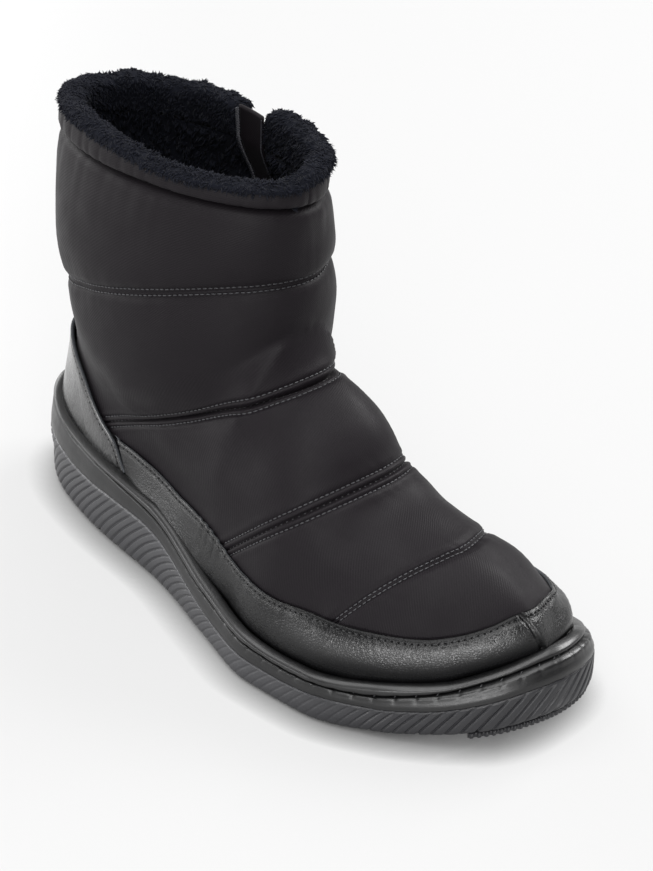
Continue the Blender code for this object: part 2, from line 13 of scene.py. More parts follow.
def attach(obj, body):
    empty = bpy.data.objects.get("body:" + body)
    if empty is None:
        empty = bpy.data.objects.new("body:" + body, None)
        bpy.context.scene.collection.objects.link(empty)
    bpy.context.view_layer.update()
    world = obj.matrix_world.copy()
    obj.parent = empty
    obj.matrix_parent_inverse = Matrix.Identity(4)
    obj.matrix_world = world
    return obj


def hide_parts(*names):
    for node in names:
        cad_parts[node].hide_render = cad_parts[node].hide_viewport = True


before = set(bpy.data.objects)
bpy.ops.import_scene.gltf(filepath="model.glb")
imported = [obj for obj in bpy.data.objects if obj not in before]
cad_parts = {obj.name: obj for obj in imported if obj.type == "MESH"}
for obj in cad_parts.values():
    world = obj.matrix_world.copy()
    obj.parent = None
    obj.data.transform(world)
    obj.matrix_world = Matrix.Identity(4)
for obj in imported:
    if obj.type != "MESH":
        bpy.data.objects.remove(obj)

bl_info = {
    "name": "Padded Winter Boot",
    "version": (1, 0, 0),
    "blender": (4, 5, 0),
    "location": "3D View > Sidebar > Boot",
    "description": "Dresses a boot's packed frame in quilted nylon, leather, rubber and plush pile",
    "category": "Add Mesh",
}

MM = 0.001
LENGTH = 275.0
# Middle of the boot's box, seen from the back of the heel on its middle line
SHIFT = np.array((137.5, -1.844, 0.0))

# Plan of the outsole: share of the length from the heel, half widths from the middle line
OUTLINE = (
    # share, lateral, medial
    (0.00, 0.0, 0.0), (0.04, 19.2, 21.0), (0.10, 27.7, 30.0), (0.20, 34.1, 34.5), (0.35, 38.0, 33.0),
    (0.50, 49.0, 34.2), (0.62, 57.2, 39.8), (0.72, 56.9, 45.1), (0.82, 48.5, 46.4), (0.90, 36.7, 42.6),
    (0.96, 24.2, 31.0), (1.00, 0.0, 0.0),
)
# The middle line swings this far to the big toe, from this share of the length on
TOE_SWING = 12.4
SWING_START = 0.45

# Underside of the outsole, with flats at heel and forefoot, a low arch and the toe spring
FLOOR = (
    # share, height
    (0.00, 1.8), (0.07, 0.0), (0.36, 0.0), (0.46, 1.0), (0.54, 1.0), (0.62, 0.0), (0.75, 0.0), (0.82, 1.4),
    (0.90, 5.2), (0.95, 9.2), (1.00, 15.0),
)
# Heights of the lines that run round the sole, as rows of share and height
WALL_TOP = ((0.00, 22.5), (0.08, 21.9), (0.15, 21.2), (0.20, 21.9), (0.25, 23.3), (0.32, 23.8), (0.36, 22.2),
            (0.42, 18.4), (0.48, 14.4), (0.54, 11.6), (0.62, 10.9), (0.68, 10.9), (0.74, 12.2), (0.81, 13.2),
            (0.88, 16.2), (0.94, 22.4), (1.00, 31.4))
CREASE = ((0.00, 36.4), (0.07, 35.2), (0.13, 32.4), (0.20, 32.2), (0.26, 31.6), (0.32, 30.0), (0.37, 27.4),
          (0.43, 23.0), (0.49, 20.2), (0.55, 18.4), (0.62, 16.6), (0.68, 15.9), (0.74, 16.9), (0.80, 17.6),
          (0.85, 20.4), (0.90, 24.2), (0.95, 31.0), (1.00, 39.0))
BEAD_TOP = ((0.00, 40.4), (0.05, 38.2), (0.11, 35.8), (0.17, 34.9), (0.24, 34.9), (0.33, 34.4), (0.37, 32.0),
            (0.42, 28.4), (0.48, 25.0), (0.54, 22.6), (0.60, 21.2), (0.66, 19.7), (0.71, 20.2), (0.77, 21.6),
            (0.84, 24.8), (0.90, 27.8), (0.95, 34.0), (1.00, 42.0))

# How the bead, the upper and the insole stand on the platform and in from the outline, further in at the toe
SOLE_GAP = 0.4
BEAD_INSET = 3.7
BEAD_RADIUS = 2.4
BEAD_CENTRE = 4.4
BEAD_BULGE = 3.5
BEAD_BACK = 1.9
TOE_INSET = 5.0
TOE_INSET_FROM = 0.80
UPPER_INSET = BEAD_INSET + BEAD_RADIUS + 0.4
UPPER_FRONT = LENGTH - UPPER_INSET - TOE_INSET
# The sole is fuller at the toe's inner side and at the ball, and tucked in under the heel
TOE_FLARE = 1.7
SIDE_FLARE = 1.6
HEEL_TUCK = 2.0
INSOLE_INSET = UPPER_INSET + 6.3
INSOLE_THICK = 4.0

# Mesh columns to each rib, how much further apart the ribs are at the toe, and how they lean as they rise
RIB_STEPS = 12
TOE_RIBS = 0.30
RIB_LEAN = 0.55
RIB_BEND = 0.30
# Cross channels under the outsole
TREAD_PITCH = 13.0
TREAD_DEPTH = 1.5
# Tread pad: where it begins and ends round the toe, the depth of its teeth and its section
PAD_TURNS = (-0.52, 0.62)
PAD_TOOTH = 1.1
PAD_SECTION = (
    # distance in from the outline, drop below the sole, toothed or not
    (14.0, 2.1, 0), (9.0, 2.2, 0), (2.0, 2.3, 1), (1.4, 1.9, 1), (1.2, 0.5, 1), (1.5, -0.4, 1), (9.0, -0.5, 0),
    (14.0, -0.5, 0),
)
# Lasting stitches: distance in, half length, half width, and the share of the sole from which they show
LASTING = (2.6, 1.2, 0.26, 0.47)
# How deep the leaning ribs are cut along the sole
RIB_DEPTHS = (
    # share, depth
    (0.00, 0.75), (0.30, 0.75), (0.45, 0.6), (0.58, 0.22), (0.76, 0.25), (0.88, 0.9), (1.00, 1.3),
)
# Section of the outsole's wall, from its bottom edge to its top
WALL_SECTION = (
    # share of the height, distance in from the outline
    (0.00, 2.4), (0.06, 1.1), (0.16, 0.3), (0.45, 0.0), (0.80, 0.2), (0.97, 0.35), (1.00, 1.2),
)
# Section of the wrapped platform, from its lower edge to the crease
WRAP_SECTION = (
    # share of the height, distance in from the outline, more at the toe
    (0.00, 1.4, 0.5), (0.03, 0.5, 0.6), (0.32, 0.5, 0.8), (0.65, 0.85, 1.6), (0.90, 1.05, 2.1),
    (0.97, 1.5, 2.4), (1.00, 2.5, 2.8),
)

# Profile of the upper along its front, from the toe over the vamp to the collar
FRONT = (
    # x, z
    (263.6, 39.5), (262.6, 45.5), (259.0, 52.0), (252.0, 57.8), (240.0, 62.6), (223.0, 67.6), (206.0, 70.2),
    (193.0, 73.4), (183.0, 81.6), (164.0, 96.8), (152.0, 103.6), (144.5, 106.0), (135.5, 113.5), (131.0, 124.0),
    (129.8, 148.0), (129.0, 188.0),
)
# Its row where the vamp's ridge ends
RIDGE_END = 13
# Profile of the back, from the heel edge to the collar
BACK = (
    # z, x
    (35.0, 7.2), (58.0, 10.4), (74.0, 13.2), (86.0, 13.8), (97.0, 12.4), (112.0, 9.4), (140.0, 6.4),
    (190.0, 4.6),
)
# The shaft as a standing tube: front edge and half width by height
SHAFT = (
    # z, front x, half width, middle
    (36.0, 131.0, 16.0, 0.0), (54.0, 131.0, 22.0, 0.2), (72.0, 131.0, 30.5, 0.6), (92.0, 130.9, 38.0, 1.4),
    (110.0, 130.7, 42.0, 2.0), (128.0, 130.5, 43.6, 2.2), (150.0, 129.6, 42.4, 2.0), (190.0, 128.8, 38.0, -1.2),
)
# How full the forefoot's section is, and how sharply foot and shaft meet
FOREFOOT_ROUND = 2.3
JOIN_SHARPNESS = 10.0

# Quilting seams seen from the side: a point on the front profile and one on the base or the back
PANELS = (
    # front x, front z, end x, end z or none for the sole edge, puff of the panel above, its lean, bow
    (263.6, 39.5, 228.0, None, 1.2, 1.0, 1.30),
    (223.0, 67.6, 188.0, None, 1.6, 0.5, 1.40),
    (183.0, 81.6, 123.0, None, 4.6, 1.6, 1.12),
    (144.5, 106.0, 30.0, None, 4.0, 0.75, 1.04),
    (129.8, 148.5, 11.6, 101.0, 3.5, 0.95, 1.24),
    (129.0, 186.2, 5.2, 174.8, 0.0, 1.0, 1.00),
)
# The panel that goes round the heel
HEEL_ROW = 3
# How the rows of the heel panel run along the base edge, turn its corner and climb the back
HEEL_TURN = (
    # share of the panel, share of the way to the corner, share of the way up from it
    (0.00, 0.00, 0.00), (0.08, 0.42, 0.00), (0.17, 0.74, 0.00), (0.27, 0.94, 0.00), (0.38, 1.00, 0.00),
    (0.50, 1.00, 0.16), (0.61, 1.00, 0.32), (0.72, 1.00, 0.48), (0.83, 1.00, 0.66), (0.93, 1.00, 0.86),
    (1.00, 1.00, 1.00),
)
HEEL_CORNER = 0.38
# The shaft's top drops towards the zip by this share of the width, from this height up
COLLAR_SIDE_DROP = 0.15
COLLAR_DROP_FROM = 125.0
# How each seam is sewn
TWIN = "two rows close together"
OPEN = "pressed open with a row on each side"
EDGE = "hidden under the collar binding"
SEAMS = (
    # line of the panels, make, stitch rows from the seam, depth of its puckers, their reach
    (1, TWIN, 0.85, 0.26, 7.0),
    (2, OPEN, 3.2, 0.30, 8.0),
    (3, OPEN, 3.2, 0.30, 8.0),
    (4, TWIN, 1.4, 0.24, 7.0),
    (5, EDGE, 0.0, 0.50, 13.0),
)
# Rows of the shell beside a seam, where its stitching needs fine steps
NEAR_SEAM = (0.0, 0.35, 0.7, 1.05, 1.4, 1.75, 2.1, 2.5, 2.9, 3.3, 3.8, 4.5, 5.5, 7.0, 9.0, 11.5, 14.5)
MID_PANEL = (0.41, 0.455, 0.5, 0.545, 0.59)
# Usual width of a panel, mesh columns on each side of the front, and the shell's thickness
PANEL_WIDTH = 44.0
SHELL_HALF = 104
SHELL_THICK = 2.0

# Top edge of the leather mudguard, by the place along the sole edge
GUARD = (
    # x, height
    (50.0, 46.6), (62.6, 47.0), (74.0, 47.3), (85.0, 46.6), (95.0, 44.9), (106.0, 43.5), (117.0, 43.9),
    (128.7, 44.0), (137.3, 42.7), (145.0, 41.0), (154.0, 40.5), (163.0, 40.3), (175.0, 40.0), (187.0, 41.4),
    (216.0, 42.8), (233.0, 44.4), (243.0, 47.5), (250.0, 51.6), (254.5, 55.0), (264.0, 56.0),
)
# Front edge of the heel counter seen from the side, as height along the boot
COUNTER = (
    # x, height
    (4.0, 76.0), (14.0, 75.4), (20.0, 74.4), (25.0, 72.4), (30.0, 69.0), (35.0, 64.4), (40.0, 59.0),
    (46.0, 54.2), (53.0, 50.1), (58.0, 47.8), (61.4, 45.6), (64.0, 42.4), (66.0, 39.2), (70.0, 32.9),
    (74.0, 26.5),
)
# The leather's feet end this far under the top of the bead
BEHIND_BEAD = 1.2
# Rear end of the mudguard: its place at one height, and how far it leans
GUARD_REAR = 64.0
GUARD_REAR_HEIGHT = 32.8
GUARD_REAR_LEAN = 0.74
# How far its foot is turned out at the arch, and how its shine runs from dull to rubbed up
GUARD_FOOT_OUT = 3.4
POLISH = (0.06, 0.85)
# Rows of its mesh, down from the top edge
GUARD_ROWS = (0.0, 0.4, 0.9, 1.5, 2.1, 2.7, 3.4, 4.4, 5.8, 7.5, 9.5, 11.5, 13.5, 15.5, 18.0)
# How far the leather stands off the pattern of the upper, how thick it is, and how full at the toe
GUARD_OUTSIDE = 1.9
GUARD_THICK = 1.4
GUARD_FULL = 1.3
# Rows of the counter's mesh, as shares of its height down from the edge
COUNTER_ROWS = (1.0, 0.9, 0.8, 0.7, 0.6, 0.5, 0.42, 0.34, 0.27, 0.21, 0.16, 0.12, 0.09, 0.065, 0.045, 0.028, 0.013,
                0.0)
COUNTER_OUTSIDE = 2.6
COUNTER_THICK = 1.6
# Over the leather's edges, the padding swells to its full within this height, from these margins on
PUFF_RISE = 26.0
PUFF_MARGIN = 0.3
COUNTER_MARGIN = 0.5
COUNTER_LEAN = 0.52
# Stitch rows of the leather, in from its edges
GUARD_STITCHES_IN = 2.2
COUNTER_STITCHES_IN = 2.3
# Creases where the leather bends at the ball, as soft troughs from its top edge down
FLEX_CREASES = (
    # x at the top, lean, depth, half width, lowest height
    (121.0, -0.10, 0.35, 0.9, 33.0),
    (125.5, -0.12, 0.55, 0.9, 29.0),
    (130.0, -0.16, 0.50, 0.8, 31.0),
    (135.0, -0.20, 0.60, 0.9, 28.0),
    (140.5, -0.22, 0.35, 0.9, 32.0),
    (158.0, -0.15, 0.22, 1.6, 26.0),
    (181.0, 0.05, 0.25, 1.8, 27.0),
)

# Plush: how many locks stand on the collar and on the lining, how wide and long they are, and the lining's thickness
COLLAR_LOCKS = 14800
COLLAR_LOCK_WIDTH = 0.72
LINING_LOCKS = 13300
LINING_LOCK_WIDTH = 1.0
LINING_LOCK_LENGTH = 2.9
LINING_THICK = 0.8
# Middle of the collar's gap, and half its width
NOTCH_X = 67.0
NOTCH_HALF = 8.8
# Section of the collar binding, from inside its lower edge round to inside its top
BAND_SECTION = (
    # out from the shaft, up from its rim
    (-4.6, 0.9), (-1.6, 0.5), (0.6, 0.3), (1.9, 0.9), (2.4, 2.8), (2.4, 5.4), (2.1, 8.0), (1.4, 10.2),
    (0.2, 11.5), (-1.8, 12.0), (-4.6, 12.0),
)

# Section of the plush that is turned over the collar, from its outer lip over the top and down inside
PILE_SECTION = (
    # out from the shaft, up from its rim
    (1.7, 10.9), (2.0, 10.2), (2.6, 10.5), (2.7, 11.8), (2.0, 13.0), (0.4, 13.9), (-2.0, 14.3), (-4.6, 13.9),
    (-6.4, 12.4), (-7.1, 9.8), (-7.2, 5.0), (-6.9, 0.9), (-6.2, 0.2), (-5.4, 1.2), (-5.2, 7.0), (-5.0, 12.2),
    (-1.6, 12.5), (0.6, 12.0),
)

# Ends of the zip, and its tape
ZIP_LOW = 84.0
ZIP_HIGH = 178.5
ZIP_TAPE_HALF = 10.0
ZIP_TAPE_THICK = 0.7
# The flap in the slit leans forwards as it goes down and gets narrower
FLAP = (
    # height, rear edge and front edge from the middle of the notch
    (116.0, 6.0, 15.5),
    (150.0, 0.0, 12.0),
    (195.0, -7.0, 8.0),
)

# A quilting stitch's length as a share of its pitch, its height as a share of its width, and its lift
QUILT_STITCH = (0.78, 0.8, 0.28)
# Thread that shows in a pressed open seam: its pitch as a share of the stitches' pitch
OPEN_PITCH = 1.15
# A stitch's length along the leather as a share of its pitch
LEATHER_SHARE = 0.72
# Threads
STITCHES = {
    # use: pitch, length, width, height, lift out of the cloth, slant, less what the boot's sizes give
    "open seam": (0.7, 1.1, 0.5, 0.35, 0.4),
    "leather": (0.55, 0.42, 0.0),
    "needle hole": (1.15, 0.9, 0.40, 0.04),
    "binding": (2.6, 1.7, 0.55, 0.5, 0.0, 0.0),
    "zip coil": (1.3, 0.95, 2.9, 1.15, 0.0, 0.25),
    "zip edge": (2.4, 1.8, 0.5, 0.45, 0.05, 0.0),
    "zip bar": (0.55, 0.5, 2.6, 0.6, 0.1, 0.0),
}
# Overlock thread round the cut edge of the lining, and the sewn front edge of the flap
OVERLOCK = (
    # edge of the flap, distance from it, then as above
    (0, -0.3, 0.8, 0.55, 2.5, 0.6, 0.0, 0.5),
    (0, 0.2, 1.3, 0.5, 2.2, 0.6, 0.0, -0.6),
    (1, -0.2, 1.3, 1.7, 0.5, 0.6, 0.0, 0.0),
)

# Along the boot, in metres, where the rubber gets duller towards the toe and painted shade darkens its colour
TOE_DULL_AND_SHADE = (0.04, 0.10)
# Part of the floor's light is painted: the floor itself glows, which softens the shadows, more on the left
FLOOR_GLOW = 0.61
LEFT_GLOW = 0.86
LEFTWARDS = (-0.75, -0.66, 0.0)
LEFT_RANGE = (0.06, 0.45)
# Painted shadow in that glow: it is cut off near the sole by occlusion that leans in from behind the boot and
# reaches this far
PAINTED_SHADOW_LEAN = (-0.60, 0.50, 0.62)
PAINTED_SHADOW_REACH = 0.013
PAINTED_SHADOW_FALL = 1.6
FLOOR_SIZE = 9.0
ROOM_LIGHT = 0.22
# Softboxes round the boot, in metres, each facing one point in it
LIGHT_AIM = (0.0, 0.0, 0.08)
LIGHTS = (
    # name, place, width and height, radiance
    ("overhead", (-0.15, -0.30, 2.20), (2.2, 2.2), 4.0),
    ("behind", (0.30, 1.75, 1.40), (1.5, 0.9), 14.0),
    ("over the camera", (1.00, -1.20, 1.60), (1.2, 0.9), 7.0),
    ("left", (-2.10, -0.10, 0.62), (2.0, 1.2), 5.0),
    ("side", (-1.25, -1.70, 0.26), (1.6, 0.5), 7.0),
    ("front", (1.35, -1.70, 0.22), (1.4, 0.4), 13.0),
)
# The photographer's stand, round a point in the boot
CAMERA_AIM = (7.54, 8.37, 77.9)
CAMERA_AWAY = 1300.0
CAMERA_AZIMUTH = 41.22
CAMERA_ELEVATION = 34.5
CAMERA_ROLL = 5.57
CAMERA_LENS = 134.35


once = functools.lru_cache(maxsize=None)


def linear(code):
    """An sRGB hex colour as the linear values that shaders take."""
    parts = [int(code[i:i + 2], 16) / 255 for i in (0, 2, 4)]
    return tuple(p / 12.92 if p <= 0.04045 else ((p + 0.055) / 1.055) ** 2.4 for p in parts)


# Curves and surfaces of the boot


def columns(table, first, second):
    """Two columns of a table as arrays."""
    return (np.array([row[first] for row in table], dtype=float),
            np.array([row[second] for row in table], dtype=float))


def smooth(places, values, at):
    """A smooth curve through a short table that never overshoots its rows."""
    step = np.diff(places)
    rise = np.diff(values) / step
    slope = np.zeros(len(values))
    slope[0] = rise[0]
    slope[-1] = rise[-1]
    for i in range(1, len(values) - 1):
        if rise[i - 1] * rise[i] > 0:
            slope[i] = 2.0 * rise[i - 1] * rise[i] / (rise[i - 1] + rise[i])
    at = np.clip(at, places[0], places[-1])
    i = np.clip(np.searchsorted(places, at) - 1, 0, len(step) - 1)
    t = (at - places[i]) / step[i]
    start = (1 + 2 * t) * (1 - t) ** 2 * values[i] + t * (1 - t) ** 2 * step[i] * slope[i]
    end = t * t * (3 - 2 * t) * values[i + 1] + t * t * (t - 1) * step[i] * slope[i + 1]
    return start + end


def curve(table, at, column=1):
    """A smooth curve through a column of a table, by its first column."""
    return smooth(*columns(table, 0, column), at)


def ease(t):
    """A soft ramp from 0 to 1."""
    t = np.clip(t, 0.0, 1.0)
    return t * t * (3 - 2 * t)


def bell(t):
    """A soft hump, 1 at 0 and nothing past about 2."""
    return np.exp(-np.square(t))


def unit(ways):
    """Directions scaled to length 1."""
    return ways / np.maximum(np.linalg.norm(ways, axis=-1, keepdims=True), 1e-9)


def outline(turn):
    """Plan point of the outsole at an angle: 0 at the heel, the lateral side first, pi at the toe."""
    share = (1 - np.cos(turn)) / 2
    angle = np.arccos(1 - 2 * share)
    shares, lateral = columns(OUTLINE, 0, 1)
    medial = columns(OUTLINE, 0, 2)[1]
    knots = np.arccos(1 - 2 * shares)
    middle = middle_line(LENGTH * share)
    outer = middle - smooth(knots, lateral, angle)
    inner = middle + smooth(knots, medial, angle)
    return LENGTH * share, np.where(np.sin(turn) >= 0, outer, inner)


def middle_line(x):
    """The foot's middle line, which swings to the big toe."""
    return TOE_SWING * np.clip((x / LENGTH - SWING_START) / (1 - SWING_START), 0, 1) ** 2


def inset_ring(turn, inset, toe_inset=0.0):
    """The outline moved inwards along its own normal, by more at the toe where asked."""
    x, y = outline(turn)
    x_next, y_next = outline(turn + 1e-3)
    x_last, y_last = outline(turn - 1e-3)
    out_x = y_next - y_last
    out_y = x_last - x_next
    size = np.hypot(out_x, out_y)
    depth = inset + toe_inset * ease((x / LENGTH - TOE_INSET_FROM) / (1 - TOE_INSET_FROM))
    return x - out_x / size * depth, y - out_y / size * depth


@once
def even_turns(count):
    """Angles round the outline at equal steps along its edge, and the run from the heel of each."""
    turns = []
    runs = []
    for side in (0, 1):
        fine = np.linspace(side * np.pi, (side + 1) * np.pi, 4000)
        x, y = outline(fine)
        run = np.concatenate(([0.0], np.cumsum(np.hypot(np.diff(x), np.diff(y)))))
        steps = np.linspace(0, run[-1], count // 2 + 1)[:-1]
        turns.append(np.interp(steps, run, fine))
        runs.append(steps if side == 0 else run[-1] - steps)
    return np.concatenate(turns), np.concatenate(runs)


def line_at(x, line):
    """Height of one of the lines round the sole."""
    return curve(line, x / LENGTH)


def sole_place(x):
    """Place on the sole's edge that lies outside a place on the upper's edge."""
    return (x - UPPER_INSET) / (UPPER_FRONT - UPPER_INSET) * LENGTH


def base_height(x):
    """Lower edge of the upper, on the platform behind the bead."""
    return line_at(sole_place(x), CREASE) + SOLE_GAP


@once
def footprint(side):
    """Edge of the upper's footprint on one side, as angle and half width."""
    turn = np.linspace(0, np.pi, 721) if side < 0 else np.linspace(2 * np.pi, np.pi, 721)
    x, y = inset_ring(turn, UPPER_INSET, TOE_INSET)
    share = np.clip((x - x[0]) / (x[-1] - x[0]), 0, 1)
    return x[-1], np.arccos(1 - 2 * share), side * (y - middle_line(x))


def plan_half(x, back, side):
    """Half width of the upper's footprint at x, when its back edge stands at back."""
    tip, edge_angle, width = footprint(side)
    share = np.clip((x - back) / (tip - back), 0, 1)
    return np.maximum(np.interp(np.arccos(1 - 2 * share), edge_angle, width), 0)


def back_at(z):
    """Back profile."""
    return curve(BACK, z)


def front_at(z):
    """Front profile by height."""
    return smooth(*columns(FRONT, 1, 0), z)


@once
def ridge_line():
    """Places and heights of the vamp's ridge, closed over behind the throat."""
    heights = np.linspace(FRONT[0][1], FRONT[RIDGE_END][1], 900)
    places = np.concatenate((front_at(heights), (110.0, 60.0, 0.0)))
    return places[::-1], np.concatenate((heights, (132.0, 138.0, 139.0)))[::-1]


def skin_y(x, z, side):
    """Sideways place of the upper's surface, seen from the side at x and z."""
    low = base_height(x)
    climb = np.clip((z - low) / np.maximum(np.interp(x, *ridge_line()) - low, 1e-3), 0, 1)
    back = back_at(z)
    foot = plan_half(x, back, side) * np.sqrt(1 - climb ** FOREFOOT_ROUND)
    front = curve(SHAFT, z)
    across = np.clip(1 - ((2 * x - front - back) / (front - back)) ** 2, 0, 1)
    tube = curve(SHAFT, z, 2) * np.sqrt(across)
    half = (foot ** JOIN_SHARPNESS + tube ** JOIN_SHARPNESS) ** (1 / JOIN_SHARPNESS)
    lift = ease((z - 50.0) / 70.0)
    middle = middle_line(x) * (1 - lift) + curve(SHAFT, z, 3) * lift
    return middle + side * half


def collar_drop(y, z):
    """The shaft's top dips a little towards the zip side."""
    return COLLAR_SIDE_DROP * (y + 40.0) * ease((z - COLLAR_DROP_FROM) / 55.0)


def skin(turn, z):
    """A point on the upper's surface at an angle round the boot and a height."""
    back = back_at(z)
    x = back + (front_at(z) - back) * (1 - np.cos(turn)) / 2
    y = np.where(np.sin(turn) >= 0, skin_y(x, z, -1), skin_y(x, z, 1))
    return np.stack((x, y, z - collar_drop(y, z)), axis=-1)


def skin_out(turn, z):
    """Outward direction of the upper's surface."""
    along = skin(turn + 4e-3, z) - skin(turn - 4e-3, z)
    up = skin(turn, z + 0.3) - skin(turn, z - 0.3)
    return unit(np.cross(along, up))


def guard_top(x):
    """Top edge of the mudguard."""
    return curve(GUARD, x)


def counter_top(x):
    """Edge of the heel counter."""
    return curve(COUNTER, x)


def turn_of(x, z):
    """Angle round the boot at a place along it."""
    back = back_at(z)
    return np.arccos(np.clip(1 - 2 * (x - back) / (front_at(z) - back), -1, 1))


def puff_mask(x, y, z):
    """Where the padding is free to swell: not under the leather and not under the zip."""
    over_guard = z - guard_top(x) - PUFF_MARGIN
    over_counter = np.where(x < 82.0, COUNTER_LEAN * (z - counter_top(x)) - COUNTER_MARGIN, PUFF_RISE)
    free = ease(np.minimum(over_guard, over_counter) / PUFF_RISE)
    beside = ease((np.abs(x - NOTCH_X) - ZIP_TAPE_HALF - 1.0) / 16.0)
    return np.where((y > 0) & (z > ZIP_LOW - 12.0), free * beside, free)


def walk(points):
    """Run along lines of points, along the first axis."""
    steps = np.linalg.norm(np.diff(points, axis=0), axis=-1)
    return np.concatenate((np.zeros((1, *steps.shape[1:])), np.cumsum(steps, axis=0)))


def walk_rows(points):
    """Run along the rows of a grid."""
    return np.swapaxes(walk(np.swapaxes(points, 0, 1)), 0, 1)


def sampled(at, run, values):
    """Points of a line at given runs along it."""
    return np.stack([np.interp(at, run, values[:, c]) for c in range(values.shape[1])], axis=-1)


def path_at(at, away, points, out):
    """The line over a grid at one distance down its columns, and the outward directions along it."""
    both = np.concatenate((points, out), axis=-1)
    line = np.array([[np.interp(at, away[:, i], both[:, i, c]) for c in range(6)] for i in range(both.shape[1])])
    return line[:, :3], unit(line[:, 3:])


def gathers(run, length, seed, pitch, width):
    """Small folds at uneven steps along a run: nothing between them, up to about 1 on them."""
    draw = np.random.default_rng(seed)
    places = np.cumsum(draw.uniform(0.5, 1.5, int(length / pitch) + 2) * pitch)
    sizes = draw.uniform(0.2, 1.0, len(places))
    widths = draw.uniform(0.7, 1.4, len(places)) * width
    total = np.zeros_like(run)
    for place, size, wide in zip(places, sizes, widths):
        total += size * bell((run - place) / wide)
    return total


def drift(points, wave, seed, count=7):
    """Slow unevenness over a surface, about -1 to 1: a few plane waves in set directions."""
    draw = np.random.default_rng(seed)
    total = np.zeros(points.shape[:-1])
    for _ in range(count):
        way = unit(draw.normal(size=3))
        total += np.sin(points @ way * 2 * np.pi / (wave * draw.uniform(0.7, 1.5)) + draw.uniform(0, 6.3))
    return total / np.sqrt(count)


def grid_out(points):
    """Outward directions over a grid of points that stands round the boot."""
    out = unit(np.cross(np.gradient(points, axis=1), np.gradient(points, axis=0)))
    centre = points.mean(axis=(0, 1))
    return out if np.sum(out * (points - centre)) > 0 else -out


def steadied(ways, rounds):
    """Directions averaged with those beside them, so that a swelling doesn't fold in a hollow."""
    for _ in range(rounds):
        wide = np.pad(ways, ((1, 1), (1, 1), (0, 0)), mode="edge")
        ways = unit(2 * ways + wide[2:, 1:-1] + wide[:-2, 1:-1] + wide[1:-1, 2:] + wide[1:-1, :-2])
    return ways


# Making and finishing pieces


def bare(kind, name, **how):
    """Add a primitive with nothing else selected."""
    bpy.ops.object.select_all(action="DESELECT")
    getattr(bpy.ops.mesh, f"primitive_{kind}_add")(**how)
    piece = bpy.context.object
    piece.name = name
    piece.data.name = name
    return piece


def pick(piece):
    """Select one piece alone."""
    bpy.ops.object.select_all(action="DESELECT")
    piece.select_set(True)
    bpy.context.view_layer.objects.active = piece


def loft(name, rows, round_about=False):
    """A grid primitive laid over rows of points, with a UV map in metres along and across it."""
    rows = np.asarray(rows, dtype=float)
    if round_about:
        rows = np.concatenate((rows, rows[:, :1]), axis=1)
    down, wide = rows.shape[:2]
    piece = bare("grid", name, x_subdivisions=wide - 1, y_subdivisions=down - 1)
    mesh = piece.data
    mesh.vertices.foreach_set("co", ((rows.reshape(-1, 3) - SHIFT) * MM).ravel())
    corner = np.empty(len(mesh.loops), dtype=np.int32)
    mesh.loops.foreach_get("vertex_index", corner)
    along = np.repeat(walk(np.swapaxes(rows, 0, 1)).mean(axis=1)[None, :], down, axis=0)
    across = np.repeat(walk(rows).mean(axis=1)[:, None], wide, axis=1)
    places = np.column_stack((along.ravel(), across.ravel()))[corner] * MM
    mesh.uv_layers.active.data.foreach_set("uv", places.ravel())
    mesh.update()
    return piece


def edit(piece, *steps):
    """Run mesh operators on a piece, each with all of it selected."""
    pick(piece)
    bpy.ops.object.mode_set(mode="EDIT")
    for step, how in steps:
        bpy.ops.mesh.select_all(action="SELECT")
        getattr(bpy.ops.mesh, step)(**how)
    bpy.ops.object.mode_set(mode="OBJECT")


def mend(piece, closed=True):
    """Merge the points where edges meet and, on a closed body, turn its faces outwards."""
    outwards = [("normals_make_consistent", {"inside": False})] if closed else []
    edit(piece, ("remove_doubles", {"threshold": 2e-6}), ("dissolve_degenerate", {"threshold": 1e-7}), *outwards)
    return piece


def thicken(piece, thick, **how):
    """Give a sheet its thickness, inwards from its face."""
    pick(piece)
    modifier = piece.modifiers.new("Solidify", "SOLIDIFY")
    for key, value in {"thickness": thick * MM, "offset": -1.0, "use_even_offset": False, **how}.items():
        setattr(modifier, key, value)
    bpy.ops.object.modifier_apply(modifier=modifier.name)


def mark(piece, name, values):
    """Keep a value on each point of a piece, for its material to read."""
    piece.data.attributes.new(name, "FLOAT", "POINT").data.foreach_set("value", values)


def sheet(name, points, out):
    """A grid laid over points, with its faces turned to the side that the grid calls the outside."""
    piece = loft(name, points)
    mesh = piece.data
    out = out.reshape(-1, 3)
    few = [mesh.polygons[i] for i in range(0, len(mesh.polygons), 97)]
    if sum(face.normal.dot(Vector(out[face.vertices[0]])) for face in few) < 0:
        mesh.flip_normals()
    return piece


def joined(name, points, faces):
    """A mesh object from arrays, for what is copied many times over."""
    mesh = bpy.data.meshes.new(name)
    mesh.from_pydata(((points - SHIFT) * MM).tolist(), [], faces.tolist())
    mesh.update()
    piece = bpy.data.objects.new(name, mesh)
    bpy.context.collection.objects.link(piece)
    return piece


def done(piece, slot, look, *nodes):
    """Finish a piece: smooth shading, its material, its body and what it stands for; its slot is not used."""
    pick(piece)
    bpy.ops.object.shade_smooth()
    if look:
        piece.data.materials.append(look)
    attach(piece, "root")
    if nodes:
        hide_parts(*nodes)
    return piece


def body(name, rows, slot, look, *nodes):
    """A finished piece from rings of points that close on both ends."""
    return done(mend(loft(name, rows, round_about=True)), slot, look, *nodes)


